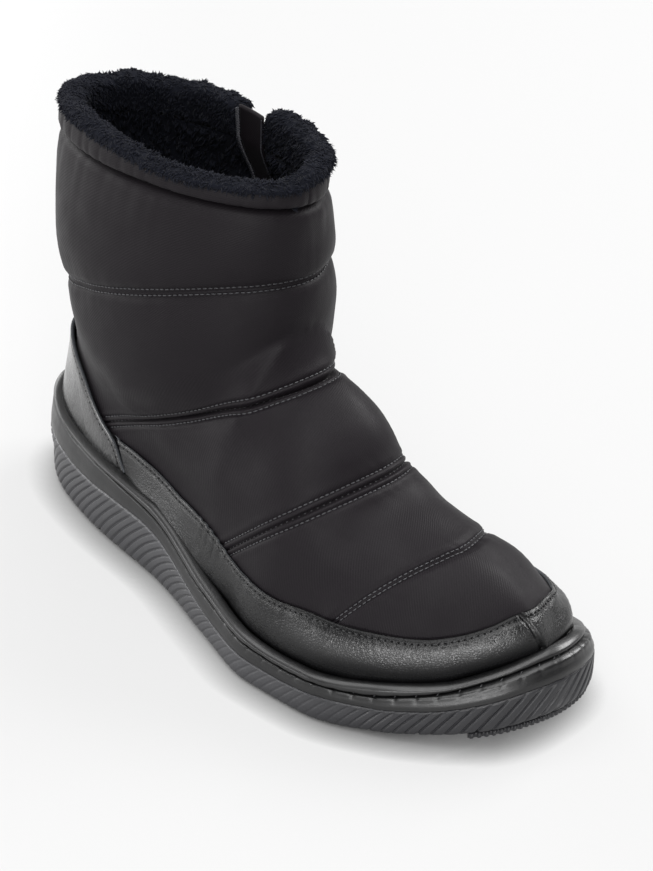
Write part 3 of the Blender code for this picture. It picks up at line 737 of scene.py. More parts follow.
def sewn(name, frames, slot, look):
    """Stitches as one piece: a rounded thread copied to every frame, which holds its axes and its middle."""
    model = bare("uv_sphere", "stitch", segments=6, ring_count=5, radius=1.0, rotation=(0, np.pi / 2, 0))
    bpy.ops.object.transform_apply(location=False, rotation=True, scale=False)
    edit(model, ("quads_convert_to_tris", {"quad_method": "FIXED"}))
    points = np.array([v.co[:] for v in model.data.vertices])
    faces = np.array([p.vertices[:] for p in model.data.polygons])
    bpy.data.objects.remove(model, do_unlink=True)
    places = np.concatenate(frames)
    spread = np.einsum("vk,nkc->nvc", points, places[:, :3]) + places[:, 3:4]
    index = faces[None] + (np.arange(len(places)) * len(points))[:, None, None]
    return done(joined(name, spread.reshape(-1, 3), index.reshape(-1, 3)), slot, look)


def stitch_places(path, out, pitch, long, wide, high, lift, slant=0.0):
    """Where stitches lie along a path: steps of one pitch, each turned along it and out of the cloth."""
    run = walk(path)
    steps = np.arange(pitch / 2, run[-1], pitch)
    middle = sampled(steps, run, path)
    way = unit(sampled(steps + 0.3, run, path) - sampled(steps - 0.3, run, path))
    up = unit(sampled(steps, run, out))
    side = unit(np.cross(up, way))
    way = unit(way + slant * side)
    side = unit(np.cross(up, way))
    return np.stack((way * long / 2, side * wide / 2, up * high / 2, middle + up * lift), axis=1)


# Materials


def tinted(colour, share):
    """A colour made lighter or darker by a share, with its alpha."""
    return (*[c * share for c in colour], 1.0)


def colour_of(name):
    """One of the boot's colours."""
    return getattr(bpy.context.scene.boot_colours, name)[:]


class Look:
    """A material in the making, with the patterns that the boot's materials share."""

    def __init__(self, name, colour, **sockets):
        self.colour = colour
        self.material = bpy.data.materials.new(name)
        self.material.use_nodes = True
        self.tree = self.material.node_tree
        self.socket("base_color").default_value = (*colour, 1.0)
        for key, value in sockets.items():
            self.socket(key).default_value = value
        self.place = self.node("TexCoord", gives="Object")

    def socket(self, key):
        """An input of the shader."""
        return self.tree.nodes["Principled BSDF"].inputs[key.replace("_", " ").title().replace("Ior", "IOR")]

    def node(self, kind, values=(), gives=0, **settings):
        """Add a node with its settings, and numbers or links for its inputs."""
        new = self.tree.nodes.new("ShaderNode" + kind)
        for key, value in settings.items():
            setattr(new, key, value)
        for key, value in dict(values).items():
            if isinstance(value, bpy.types.NodeSocket):
                self.tree.links.new(value, new.inputs[key])
            else:
                new.inputs[key].default_value = value
        return new.outputs[gives]

    def noise(self, size, detail=2.0, place=None, rough=0.5):
        """Cloudy pattern with patches of a size in millimetres."""
        return self.node("TexNoise", {"Vector": self.place if place is None else place, "Scale": 1 / (size * MM),
                                      "Detail": detail, "Roughness": rough}, "Fac")

    def wave(self, pitch, distortion, direction, place=None, gives="Fac", more=()):
        """Bands at a pitch in millimetres."""
        values = {"Vector": self.place if place is None else place, "Scale": 2 * np.pi / (20 * pitch * MM),
                  "Distortion": distortion, **dict(more)}
        return self.node("TexWave", values, gives, wave_type="BANDS", bands_direction=direction)

    def mix(self, share, low, high, **how):
        """Two colours by a share: a number stands for the material's own colour, made that much lighter."""
        low, high = (tinted(self.colour, end) if isinstance(end, float) else end for end in (low, high))
        return self.node("MixRGB", {"Fac": share, "Color1": low, "Color2": high}, **how)

    def ramp(self, value, low, high, start=0.3, stop=0.7, **how):
        """A value between two others, by where it lies from start to stop."""
        return self.node("MapRange", {"Value": value, "From Min": start, "From Max": stop, "To Min": low,
                                      "To Max": high}, **how)

    def bump(self, height, strength, depth, under=None):
        """Fine relief with a depth in millimetres, over another where there is one."""
        values = {"Strength": strength, "Distance": depth * MM, "Height": height}
        return self.node("Bump", values if under is None else {**values, "Normal": under})

    def finish(self, **ends):
        """Lead the patterns to the shader."""
        for key, end in ends.items():
            self.tree.links.new(end, self.socket(key))
        return self.material


@once
def nylon_cloth():
    """Polyamide twill, woven fine and calendered: near-black, with a soft sheen along its diagonals."""
    look = Look("polyamide_twill_woven", colour_of("nylon"), specular_ior_level=0.12, sheen_weight=0.02,
                sheen_roughness=0.35)
    turned = look.node("Mapping", {"Vector": look.node("UVMap"), "Rotation": (0, 0, 0.9)})
    # The real diagonals are 0.4 mm apart: drawn at 1 mm so that they show
    twill = look.wave(1.0, 0.6, "X", turned, more={"Detail": 1.0, "Detail Scale": 0.4})
    slub = look.noise(14, 3.0)
    weave = look.bump(twill, 0.25, 0.15)
    return look.finish(base_color=look.mix(slub, look.mix(twill, 0.6, 1.5), 1.15),
                       roughness=look.ramp(slub, 0.50, 0.62), normal=look.bump(look.noise(0.7), 0.30, 0.2, weave))


LEATHERS = {
    # name: colour, roughness, pebble and its relief, stretch upwards, coat, rubbed up in places or not
    # Tumbled leather of the mudguard: round pebbles, and a shine where it is rubbed up
    "cow_leather_tumbled": ("leather", 0.30, 1.1, 0.30, 1.0, 0.1, True),
    # The same leather on the counter, pulled upwards in lasting so that its grain runs in streaks
    "cow_leather_lasted": ("leather", 0.28, 1.0, 0.8, 0.2, 1.0, False),
    # Coated split leather round the platform: almost smooth, with a clear soft shine
    "split_leather_coated": ("wrap", 0.36, 0.8, 0.06, 0.6, 0.15, False),
    # The same split leather rolled round the bead's cord: stretched smooth, with a broad soft highlight
    "split_leather_rolled": ("wrap", 0.42, 0.8, 0.06, 0.6, 0.3, False),
}


@once
def leather(name):
    """Cow leather, finished with pigment: grain at a pebble's size, gloss that breaks up over it."""
    colour, rough, pebble, relief, streak, coat, rubbed = LEATHERS[name]
    look = Look(name, colour_of(colour), specular_ior_level=0.42, coat_weight=coat, coat_roughness=0.2)
    stretch = look.node("Mapping", {"Vector": look.place, "Scale": (1.0, 1.0, streak)})
    cells = look.node("TexVoronoi", {"Vector": stretch, "Scale": 1 / (pebble * MM), "Randomness": 0.9}, "Distance",
                      feature="DISTANCE_TO_EDGE")
    folds = look.noise(pebble * 4, 5.0, stretch, 0.62)
    grain = look.ramp(cells, 0.0, 1.0, 0.0, 0.28)
    relief_below = look.bump(folds, relief, 0.9, look.bump(grain, relief, 0.30))
    ends = {"base_color": look.mix(grain, 0.55, look.mix(folds, 0.7, 1.35)),
            "roughness": look.ramp(folds, rough - 0.05, rough + 0.09),
            "normal": look.bump(look.noise(0.45), 0.15, 0.12, relief_below)}
    if rubbed:
        polish = look.node("Attribute", gives="Fac", attribute_name="polish")
        ends["specular_ior_level"] = look.ramp(polish, *POLISH, 0.0, 1.0)
    return look.finish(**ends)


@once
def raw_edge():
    """Cut edge of the leather: dyed fibre, paler and duller than its face."""
    look = Look("cow_leather_cut_edge", colour_of("raw_edge"), roughness=0.7, specular_ior_level=0.3)
    fibre = look.noise(0.6, 3.0)
    return look.finish(base_color=look.mix(fibre, 0.6, 1.4), normal=look.bump(fibre, 0.3, 0.2))


@once
def moulded_rubber():
    """Foamed rubber from a spark-eroded mould: dull dark grey with a fine stipple, and painted shade towards the
    toe.
    """
    look = Look("foam_rubber_moulded", colour_of("rubber"))
    # The mould's grit is about 0.3 mm: drawn at 0.8 mm so that it shows
    grit = look.noise(0.8, 3.0)
    bloom = look.noise(22, 4.0)
    speck = look.mix(grit, 0.6, look.mix(bloom, 0.75, 1.25))
    # Duller round the toe, and darkened there by painted shade
    ahead = look.node("SeparateXYZ", {"Vector": look.place}, "X")
    tone = look.mix(look.ramp(ahead, 0.0, 1.0, *TOE_DULL_AND_SHADE), speck, (0.7, 0.7, 0.7, 1.0), blend_type="MULTIPLY")
    return look.finish(base_color=tone, roughness=look.ramp(bloom, 0.34, 0.48),
                       specular_ior_level=look.ramp(ahead, 0.65, 0.35, *TOE_DULL_AND_SHADE),
                       normal=look.bump(grit, 0.35, 0.25))


@once
def plush_pile():
    """Polyester plush, cut and brushed: blue-black locks, with painted shade that makes them dark at the root and
    paler at the tip.
    """
    look = Look("polyester_plush_brushed", colour_of("pile"), roughness=0.85, specular_ior_level=0.05,
                sheen_weight=0.02, sheen_roughness=0.5)
    # Painted shade from the attribute: dark at the roots and on the base under the locks, pale at the tips
    shade = look.node("Attribute", gives="Fac", attribute_name="shade")
    clump = look.noise(6, 3.0)
    return look.finish(base_color=look.mix(clump, 0.4, look.mix(shade, 0.25, 1.6)),
                       normal=look.bump(clump, 0.4, 0.8))


THREADS = {
    # name: colour
    # Bonded polyester thread of the seams: smooth, with a slight shine
    "polyester_thread_bonded": "thread",
    # Waxed thread pulled down into the leather: nearly black
    "polyester_thread_waxed": "waxed",
    # Textured polyester overlock thread: grey and soft, so that the cut edge looks speckled
    "polyester_thread_textured": "overlock",
}


@once
def thread(name):
    """Twisted thread: the turns show as fine slanting bands."""
    look = Look(name, colour_of(THREADS[name]), roughness=0.45)
    ply = look.wave(0.5, 2.0, "DIAGONAL")
    return look.finish(base_color=look.mix(ply, 0.6, 1.3), normal=look.bump(ply, 0.3, 0.1))


@once
def sunk_thread_painted_shade():
    """Needle holes and sunk thread in leather, and thread in the binding's crease: painted shade, as nearly no light
    comes back out of them.
    """
    look = Look("polyester_thread_sunk", tinted(colour_of("thread"), 0.1)[:3], roughness=0.8,
                specular_ior_level=0.1)
    return look.finish(base_color=look.mix(look.noise(0.4), 0.4, 1.6))


@once
def woven_tape():
    """Polyester zip tape: ribbed weave, dull black."""
    look = Look("polyester_tape_woven", colour_of("tape"), roughness=0.7, specular_ior_level=0.3)
    # Weft ribs are 0.6 mm apart: drawn at 1 mm so that they show
    weave = look.mix(0.5, look.wave(1.0, 0.3, "Z", gives="Color"), look.wave(1.4, 0.5, "X", gives="Color"))
    return look.finish(base_color=look.mix(weave, 0.6, 1.4), normal=look.bump(weave, 0.35, 0.2))


# The sole


def sole_ring(turn, inset, toe_inset, height):
    """A ring of points round the sole at a height, a little fuller on the inner side of the toe."""
    flare = TOE_FLARE * ease((turn - np.pi + 0.25) / 0.5) * ease((np.pi + 1.3 - turn) / 0.8)
    flare = flare + SIDE_FLARE * ease((turn - 0.75) / 0.45) * ease((2.4 - turn) / 0.65)
    x, y = inset_ring(turn, inset - flare, toe_inset)
    return np.column_stack((x, y, height))


def closed_to_middle(ring, shares):
    """Rings that shrink from a ring to the middle line, which close a body above or below."""
    middle = ring.copy()
    middle[:, 1] = middle_line(ring[:, 0])
    # Both sides of the last ring meet on the middle line
    mirror = (len(ring) - np.arange(len(ring))) % len(ring)
    middle = (middle + middle[mirror]) / 2
    return [middle + (ring - middle) * share for share in shares]


def tread_cut(points):
    """Cross channels under the sole, as a height above its floor."""
    lean = points[:, 0] + 0.35 * np.abs(points[:, 1] - middle_line(points[:, 0]))
    phase = np.abs((lean / TREAD_PITCH) % 1.0 - 0.5)
    return TREAD_DEPTH * ease((0.13 - phase) / 0.05)


def make_outsole(sizes):
    """Outsole: leaning ribs round a bulged wall, channels underneath that nick its lower edge."""
    rib_pitch = sizes.rib_pitch / MM
    ribs = 2 * round(even_turns(1000)[1].max() / rib_pitch)
    turn = even_turns(ribs * RIB_STEPS)[0]
    x, y = outline(turn)
    step = np.hypot(np.roll(x, -1) - x, np.roll(y, -1) - y)
    around = np.concatenate(([0.0], np.cumsum(step)))
    # The ribs follow one another round the whole sole, further apart at the toe
    apart = 1 - TOE_RIBS * ease((turn - 2.2) / 0.5) * ease((4.1 - turn) / 0.5)
    count = np.cumsum(step * apart)
    count *= round(count[-1] / rib_pitch) / count[-1]
    cut = bell((count % 1.0 - 0.5) / 0.13)
    rise = line_at(x, WALL_TOP) - line_at(x, FLOOR)
    steps = np.concatenate(((0.0, 0.03, 0.06, 0.10), np.linspace(0.15, 0.88, 13), (0.93, 0.97, 1.0)))
    rows = []
    for share in steps:
        inset = curve(WALL_SECTION, share)
        # Each rib leans towards the toe and bends over as it rises, and the mesh leans with it
        shift = rise * (RIB_LEAN * share + RIB_BEND * share ** 2)
        there = np.interp((around[:-1] + shift) % around[-1], around, np.append(turn, 2 * np.pi))
        x = outline(there)[0]
        low = line_at(x, FLOOR)
        depth = line_at(x, RIB_DEPTHS) * sizes.rib_depth / MM
        fade = ease(share / 0.10) * ease((1 - share) / 0.16)
        tuck = HEEL_TUCK * bell((there - 0.33) / 0.28) * ease((0.95 - share) / 0.5)
        height = low + (line_at(x, WALL_TOP) - low) * share
        ring = sole_ring(there, inset + tuck + depth * cut * fade, 0.5 * share, height)
        ring[:, 2] += tread_cut(ring) * ease((0.10 - share) / 0.08)
        rows.append(ring)
    floor_rows = []
    for ring in closed_to_middle(rows[0], (0.97, 0.93, 0.86, 0.76, 0.64, 0.50, 0.34, 0.17, 0.0)):
        ring[:, 2] = line_at(ring[:, 0], FLOOR) + tread_cut(ring)
        floor_rows.append(ring)
    top = sole_ring(turn, 5.0, 0.5, line_at(outline(turn)[0], WALL_TOP))
    rows = floor_rows[::-1] + rows + [top] + closed_to_middle(top, (0.5, 0.0))
    return body("ribbed_outsole", rows, "sole_rubber", moulded_rubber(), "outsole")


def make_toe_tread():
    """Tread pad under the sprung toe, with a toothed edge."""
    turn = np.linspace(*(np.pi + np.array(PAD_TURNS)), 265)
    tooth = PAD_TOOTH * ease(np.abs((np.arange(265) / 8) % 1.0 - 0.5) * 4 - 0.5)
    rows = []
    for inset, drop, toothed in PAD_SECTION:
        ring = sole_ring(turn, inset + tooth * toothed, 0.0, np.zeros(len(turn)))
        ring[:, 2] = line_at(ring[:, 0], FLOOR) - drop
        rows.append(ring)
    # The field behind the toothed band closes on the pad's straight back edge
    rows = [(rows[0] + rows[0][::-1]) / 2, *rows, (rows[-1] + rows[-1][::-1]) / 2]
    piece = mend(loft("toothed_toe_tread", rows), closed=False)
    bpy.ops.object.mode_set(mode="EDIT")
    bpy.ops.mesh.select_all(action="DESELECT")
    bpy.ops.mesh.select_non_manifold()
    bpy.ops.mesh.fill()
    bpy.ops.object.mode_set(mode="OBJECT")
    edit(piece, ("normals_make_consistent", {"inside": False}))
    return done(piece, "sole_rubber", moulded_rubber(), "toe_tread")


def round_drift(turn, wave, seed):
    """Slow unevenness round the sole."""
    return drift(np.column_stack((*outline(turn), np.zeros_like(turn))), wave, seed)


def lasting_places(sizes):
    """Runs round the sole at which the lasting stitches pull the wrap in, the same on both sides."""
    pitch = sizes.lasting_pitch / MM
    return np.arange(pitch / 2, even_turns(1000)[1].max(), pitch)


def pulled(run, sizes, width):
    """How far the lasting stitches pull at each place round the sole."""
    return sum(bell((run - place) / width) for place in lasting_places(sizes))


def lasting_strength(x):
    """The stitches bite round the forefoot and the toe, and only dimple the strip at the heel."""
    return 0.12 + 0.88 * ease((x / LENGTH - 0.44) / 0.16) * (1 - 0.5 * ease((x / LENGTH - 0.84) / 0.1))


def make_platform(sizes):
    """Wrapped platform: a full strip, tucked in below, nicked along its top by the lasting stitches."""
    turn, run = even_turns(1100)
    x = outline(turn)[0]
    low = line_at(x, WALL_TOP) - 0.1
    high = line_at(x, CREASE)
    wave = round_drift(turn, 21.0, 5)
    fine = round_drift(turn, 5.0, 6)
    pull = pulled(run, sizes, 1.0) * lasting_strength(x)
    rows = []
    for share in (0.0, 0.04, 0.10, 0.2, 0.32, 0.45, 0.58, 0.70, 0.80, 0.88, 0.92, 0.96, 0.98, 1.0):
        inset = curve(WRAP_SECTION, share)
        toe = curve(WRAP_SECTION, share, 2)
        dip = pull * ease((share - 0.5) / 0.5)
        lower = (0.20 * fine + 0.15) * ease((0.12 - share) / 0.12)
        height = low + (high - low) * share - 0.30 * dip + lower
        rows.append(sole_ring(turn, inset + 0.3 * dip + 0.10 * wave, toe, height))
    under = sole_ring(turn, 6.0, 0.5, low)
    over = sole_ring(turn, 9.0, TOE_INSET, high)
    rows = closed_to_middle(under, (0.0, 0.6)) + [under] + rows + [over] + closed_to_middle(over, (0.6, 0.0))
    return body("wrapped_platform", rows, "wrap_leather", leather("split_leather_coated"), "platform")


def make_welt(sizes):
    """Welt bead: a soft roll over the seam, pinched a little at each lasting stitch."""
    turn, run = even_turns(1000)
    x = outline(turn)[0]
    low = line_at(x, CREASE) - 0.3
    high = line_at(x, BEAD_TOP)
    pull = pulled(run, sizes, 1.6) * (0.3 + 0.7 * lasting_strength(x))
    wave = round_drift(turn, 30.0, 8)
    rows = []
    for angle in np.linspace(0, 2 * np.pi, 33):
        # The roll bulges outwards over the crease, and its inner side is held behind the leather
        across = np.cos(angle) * np.where(np.cos(angle) > 0, BEAD_BULGE, BEAD_BACK)
        upright = np.sign(np.sin(angle)) * np.abs(np.sin(angle)) ** 0.85
        below = np.clip(-upright, 0, 1)
        reach = across * (1 + 0.03 * wave) - 0.25 * pull * below
        height = (low + high) / 2 + (high - low) / 2 * upright + 0.25 * pull * below
        rows.append(sole_ring(turn, BEAD_CENTRE - reach, TOE_INSET, height))
    return body("rolled_welt", rows, "wrap_leather", leather("split_leather_rolled"), "welt_bead")


def make_lasting_stitches(sizes):
    """Lasting stitches: dark threads that cross from the platform's top into the crease."""
    inset, long, wide, begin = LASTING
    places = lasting_places(sizes)
    turn, run = even_turns(2000)
    frames = []
    for half in (slice(0, 1000), slice(1000, 2000)):
        order = np.argsort(run[half])
        turns = np.interp(places, run[half][order], turn[half][order])
        here = np.column_stack(inset_ring(turns, inset, inset))
        ahead = np.column_stack(inset_ring(turns + 2e-3, inset, inset)) - here
        way = unit(np.column_stack((ahead, np.zeros(len(turns)))))
        out = np.column_stack((way[:, 1], -way[:, 0], np.zeros(len(turns))))
        lean = unit(np.array((0.0, 0.0, 1.0)) + 0.55 * way - 0.35 * out)
        aside = unit(np.cross(lean, out))
        x = outline(turns)[0]
        middle = np.column_stack((here, line_at(x, CREASE) - 0.25))
        frames.append(np.stack((lean * long, aside * wide, out * wide, middle), axis=1)[x / LENGTH > begin])
    return sewn("lasting_stitches", frames, "wrap_leather", thread("polyester_thread_bonded"))


def make_insole():
    """Insole: a loose sock of pile over foam, cupped a little towards its edge."""
    turn = even_turns(240)[0]
    x = outline(turn)[0]
    low = line_at(x, CREASE) + SOLE_GAP
    high = line_at(x, CREASE) + INSOLE_THICK
    edge = sole_ring(turn, INSOLE_INSET, TOE_INSET, low)
    rows = closed_to_middle(edge, (0.0, 0.5, 0.9)) + [edge]
    for inset, share in ((0.0, 0.5), (0.1, 0.8), (0.6, 0.97), (1.6, 1.0)):
        rows.append(sole_ring(turn, INSOLE_INSET + inset, TOE_INSET, low + (high - low) * share))
    shares = (0.9, 0.75, 0.55, 0.35, 0.15, 0.0)
    for ring, share in zip(closed_to_middle(rows[-1], shares), shares):
        ring[:, 2] -= 0.8 * (1 - share ** 2) + 0.25 * drift(ring, 9.0, 12)
        rows.append(ring)
    piece = body("pile_insole", rows, "lining_fabric", plush_pile(), "insole")
    # The insole's pile takes one middle value of the painted shade
    mark(piece, "shade", np.full(len(piece.data.vertices), 0.35))
    return piece


# The quilted shell


def panel_shares(panel):
    """Steps across a panel from the seam below it, crowded beside both of its seams."""
    near = np.array(NEAR_SEAM) / PANEL_WIDTH
    shares = np.concatenate((near, MID_PANEL, 1 - near[:0:-1]))
    if panel == HEEL_ROW:
        shares = np.sort(np.append(shares, HEEL_CORNER))
    return shares


@once
def shell_lines():
    """Rows of the shell from the toe up: front point, end point, puff, bow, closed at the heel or not."""
    heights = np.linspace(FRONT[0][1], FRONT[-1][1], 1200)
    front = np.column_stack((front_at(heights), heights))
    base_x = np.linspace(FRONT[0][0], back_at(35.9), 900)
    base = np.column_stack((base_x, base_height(base_x)))
    corner = len(base) - 1
    rise = np.linspace(base[-1, 1], PANELS[-1][3], 700)[1:]
    base = np.vstack((base, np.column_stack((back_at(rise), rise))))
    front_run = walk(front)
    base_run = walk(base)
    heel_run = base_run[corner]
    marks = []
    for front_x, front_z, end_x, end_z, puff, lean, bow in PANELS:
        f = front_run[np.argmin(np.hypot(front[:, 0] - front_x, front[:, 1] - front_z))]
        end_height = base_height(np.array(end_x)) if end_z is None else end_z
        e = base_run[np.argmin(np.hypot(base[:, 0] - end_x, base[:, 1] - end_height))]
        marks.append((f, e, puff, lean, bow))
    table = []
    seam_rows = [0]
    for k in range(len(marks) - 1):
        f0, e0, puff, lean, bow0 = marks[k]
        f1, e1, _, _, bow1 = marks[k + 1]
        shares = panel_shares(k)
        ends = e0 + (e1 - e0) * shares
        if k == HEEL_ROW:
            to_corner = np.interp(shares, *columns(HEEL_TURN, 0, 1))
            up = np.interp(shares, *columns(HEEL_TURN, 0, 2))
            ends = e0 + (heel_run - e0) * to_corner + (e1 - heel_run) * up
        # A lean above 1 moves the fullest part towards the upper seam
        swell = puff * (1 - np.abs(2 * shares ** lean - 1) ** 3.4) ** 0.8
        for share, end, rise_out in zip(shares, ends, swell):
            table.append((f0 + (f1 - f0) * share, end, rise_out, bow0 + (bow1 - bow0) * share))
        seam_rows.append(len(table))
    table.append((marks[-1][0], marks[-1][1], 0.0, marks[-1][4]))
    table = np.array(table)
    a = sampled(table[:, 0], front_run, front)
    b = sampled(table[:, 1], base_run, base)
    return a, b, table[:, 2], table[:, 3], table[:, 1] / heel_run, seam_rows


@once
def shell_base(half):
    """The shell before it is padded: points at even steps along each row, and the rows of its seams."""
    a, b, swell, bow, reach_share, seam_rows = shell_lines()
    t = np.linspace(0, 1, 500)
    grid = np.empty((len(a), 2 * half + 1, 3))
    for k in range(len(a)):
        curl = ease((reach_share[k] - 0.72) / 0.28)
        reach = (1 - curl) * t ** 2 + curl * (1 - np.cos(np.pi * t)) / 2
        x = a[k, 0] + (b[k, 0] - a[k, 0]) * reach
        z = a[k, 1] + (b[k, 1] - a[k, 1]) * reach ** bow[k]
        halves = []
        for side in (-1, 1):
            line = np.column_stack((x, skin_y(x, z, side), z))
            run = walk(line)
            halves.append(sampled(np.linspace(0, run[-1], half + 1), run, line))
        ridge = (halves[0][:1] + halves[1][:1]) / 2
        grid[k] = np.vstack((halves[0][:0:-1], ridge, halves[1][1:]))
        if reach_share[k] >= 1 - 1e-6:
            grid[k, 0] = grid[k, -1] = (grid[k, 0] + grid[k, -1]) / 2
    return grid, swell, seam_rows


def seam_dip(make, rows_off, away):
    """Section of a seam by the distance from it: grooves under the stitch rows, soft lips beside them."""
    if make == TWIN:
        return -0.55 * bell((away - rows_off) / 0.55) - 0.45 * bell(away / 3.4) + 0.18 * bell((away - 4.2) / 1.6)
    if make == OPEN:
        return (-1.5 * bell(away / 0.50) + 0.45 * bell((away - 1.6) / 0.9) - 0.65 * bell((away - 3.2) / 0.6)
                + 0.30 * bell((away - 5.2) / 1.5))
    return -3.3 * bell(away / 2.0) + 0.3 * bell((away - 5.5) / 2.6)


@once
def shell_surface():
    """The padded shell: outer points, outward directions, and run across the rows for its seams."""
    sizes = bpy.context.scene.boot_sizes
    grid, swell, seam_rows = shell_base(SHELL_HALF)
    flat = grid.copy()
    flat[..., 2] -= collar_drop(grid[..., 1], grid[..., 2])
    out = steadied(grid_out(flat), 14)
    across = walk(flat)
    run = walk_rows(flat)
    x, y, z = np.moveaxis(grid, -1, 0)
    zipped = (y > 0) & (np.abs(x - NOTCH_X) < ZIP_TAPE_HALF + 2) & (z > ZIP_LOW - 4)
    mask = puff_mask(x, y, z)
    push = sizes.puff * swell[:, None] * mask
    open_cloth = 0.25 + 0.75 * mask
    for line, make, rows_off, depth, reach in SEAMS:
        away = np.abs(across - across[seam_rows[line]])
        push += np.where(zipped, 0.0, seam_dip(make, rows_off, away))
        folds = gathers(run, run.max(), 40 + line, 6.5, 1.5) + 0.6 * gathers(run, run.max(), 60 + line, 11.0, 2.6)
        fade = np.exp(-np.maximum(away - rows_off, 0) / reach) * ease(away / max(rows_off, 1.0))
        push -= sizes.pucker / MM * depth * folds * fade * open_cloth
    push += (0.35 * drift(flat, 46.0, 21) + 0.12 * drift(flat, 17.0, 22)) * mask - toe_trim(flat)
    return flat + out * push[..., None], out, across, seam_rows


def make_shell():
    """Quilted shell: padded panels between sewn seams, with small puckers along the stitching."""
    points, out, _, _ = shell_surface()
    piece = sheet("quilted_shell", points, out)
    mend(piece, closed=False)
    thicken(piece, SHELL_THICK)
    done(piece, "shell_nylon", nylon_cloth(), "upper")
    return piece


def beside_seam(line, offset):
    """A path on the shell at a distance from a seam: above it where the distance is positive."""
    points, out, across, seam_rows = shell_surface()
    row = seam_rows[line]
    rows = slice(row, row + 30) if offset >= 0 else slice(row - 29, row + 1)
    return path_at(offset, across[rows] - across[row], points[rows], out[rows])


def uncovered(places):
    """Stitches that no leather and no zip tape lies over."""
    x, y, z = places[:, 3].T
    clear = z > guard_top(x) - 0.5
    clear &= (x > 78.0) | (z > counter_top(x) + 0.5)
    return places[clear & ~((y > 0) & (np.abs(x - NOTCH_X) < ZIP_TAPE_HALF + 1.5) & (z > ZIP_LOW - 1.0))]


def make_seam_stitches(sizes):
    """Stitch rows of the quilting seams, and the thread that shows in the pressed open ones."""
    pitch = sizes.stitch_pitch / MM
    wide = sizes.stitch_width / MM
    share, flat, lift = QUILT_STITCH
    frames = []
    for line, make, rows_off, _, _ in SEAMS:
        if make == EDGE:
            continue
        for offset in (-rows_off, rows_off):
            path, out = beside_seam(line, offset)
            frames.append(uncovered(stitch_places(path, out, pitch, pitch * share, wide, wide * flat, lift)))
        if make == OPEN:
            path, out = beside_seam(line, 0.0)
            frames.append(uncovered(stitch_places(path, out, pitch * OPEN_PITCH, *STITCHES["open seam"])))
    return sewn("quilting_stitches", frames, "shell_nylon", thread("polyester_thread_bonded"))


# The leather


def leather_grid(shares, turn_at, top_at, least, z, rounds):
    """Skin angles and heights of a leather piece, from behind the bead up to its top edge."""
    turns = []
    heights = []
    begin = z
    for share in shares:
        z = begin
        # The edges depend on the place along the boot, which depends on the height: they are found by turns
        for _ in range(rounds):
            turn = turn_at(z)
            x = skin(turn, z)[:, 0]
            low = line_at(sole_place(x), BEAD_TOP) - BEHIND_BEAD
            z = 0.5 * z + 0.5 * (low + np.maximum(top_at(x) - low, least) * share)
        turns.append(turn)
        heights.append(z)
    return np.array(turns), np.array(heights)


def guard_turns(z):
    """Skin angles across the mudguard, from its rear end on one side to that on the other."""
    first = turn_of(GUARD_REAR + (GUARD_REAR_HEIGHT - z) * GUARD_REAR_LEAN, z)
    return first + (2 * np.pi - 2 * first) * np.linspace(0, 1, len(z))


def toe_trim(points):
    """How much the inner side of the toe is slimmer than the pattern."""
    x, y, z = np.moveaxis(points, -1, 0)
    return 2.6 * ease((x - 226.0) / 22.0) * ease((y - 7.0) / 14.0) * ease((z - 41.0) / 8.0)


@once
def guard_surface():
    """Outer face of the mudguard: stitch channel, bending creases and the seam at the toe."""
    shares = 1 - np.array(GUARD_ROWS)[::-1] / GUARD_ROWS[-1]
    turns, heights = leather_grid(shares, guard_turns, guard_top, -np.inf, np.full(761, 45.0), 16)
    points = skin(turns, heights)
    out = skin_out(turns, heights)
    x, y, z = np.moveaxis(points, -1, 0)
    below = guard_top(x) - z
    climb = (heights - heights[0]) / (heights[-1] - heights[0])
    # The toe box is fuller half way up, so its top turns to the light and its foot away from it
    forward = ease((x - 150.0) / 60.0)
    push = GUARD_OUTSIDE + GUARD_FULL * (1 - (2 * climb - 1) ** 2) * forward * ease((14.0 - y) / 16.0)
    # Its rear end runs under the counter
    over = z - counter_top(x)
    push -= (1.2 * ease((1.0 - over) / 2.0) + 0.9 * bell((over - 0.9) / 1.5)) * (x < 84.0)
    # At the arch its foot is turned out to the bead
    push += GUARD_FOOT_OUT * (1 - climb) ** 1.5 * ease((x - 64.0) / 22.0) * ease((150.0 - x) / 40.0) * (y < 0)
    # A rounded edge and the stitch channel
    push -= 0.55 * bell(below / 0.55)
    push -= 0.34 * bell((below - GUARD_STITCHES_IN) / 0.75)
    for place, lean, depth, wide, lowest in FLEX_CREASES:
        trough = (x - place - lean * below) / wide
        fade = ease((z - lowest) / 8.0) * (y < 0)
        push -= depth * bell(trough) * fade
        push += 0.5 * depth * bell((trough - 2.0) / 1.2) * fade
    # Fine pull marks under the stitches, strongest from the ball round to the toe
    run = walk_rows(points)
    pulls = gathers(run, run.max(), 71, 4.2, 0.8)
    push -= 0.16 * pulls * np.exp(-np.maximum(below - 2.0, 0) / 5.0) * forward
    push += 0.16 * drift(points, 24.0, 31)
    # The toe seam: an open groove, with the edge on its medial side standing proud
    seam = y - (2.6 + 0.385 * np.clip(below, 0, 18))
    at_toe = ease((x - 246.0) / 5.0)
    push -= 1.0 * bell(seam / 0.85) * at_toe
    push += 0.6 * ease((seam - 0.5) / 1.0) * np.exp(-np.maximum(seam - 1.5, 0) / 2.5) * at_toe
    push -= toe_trim(points)
    return points + out * push[..., None], out


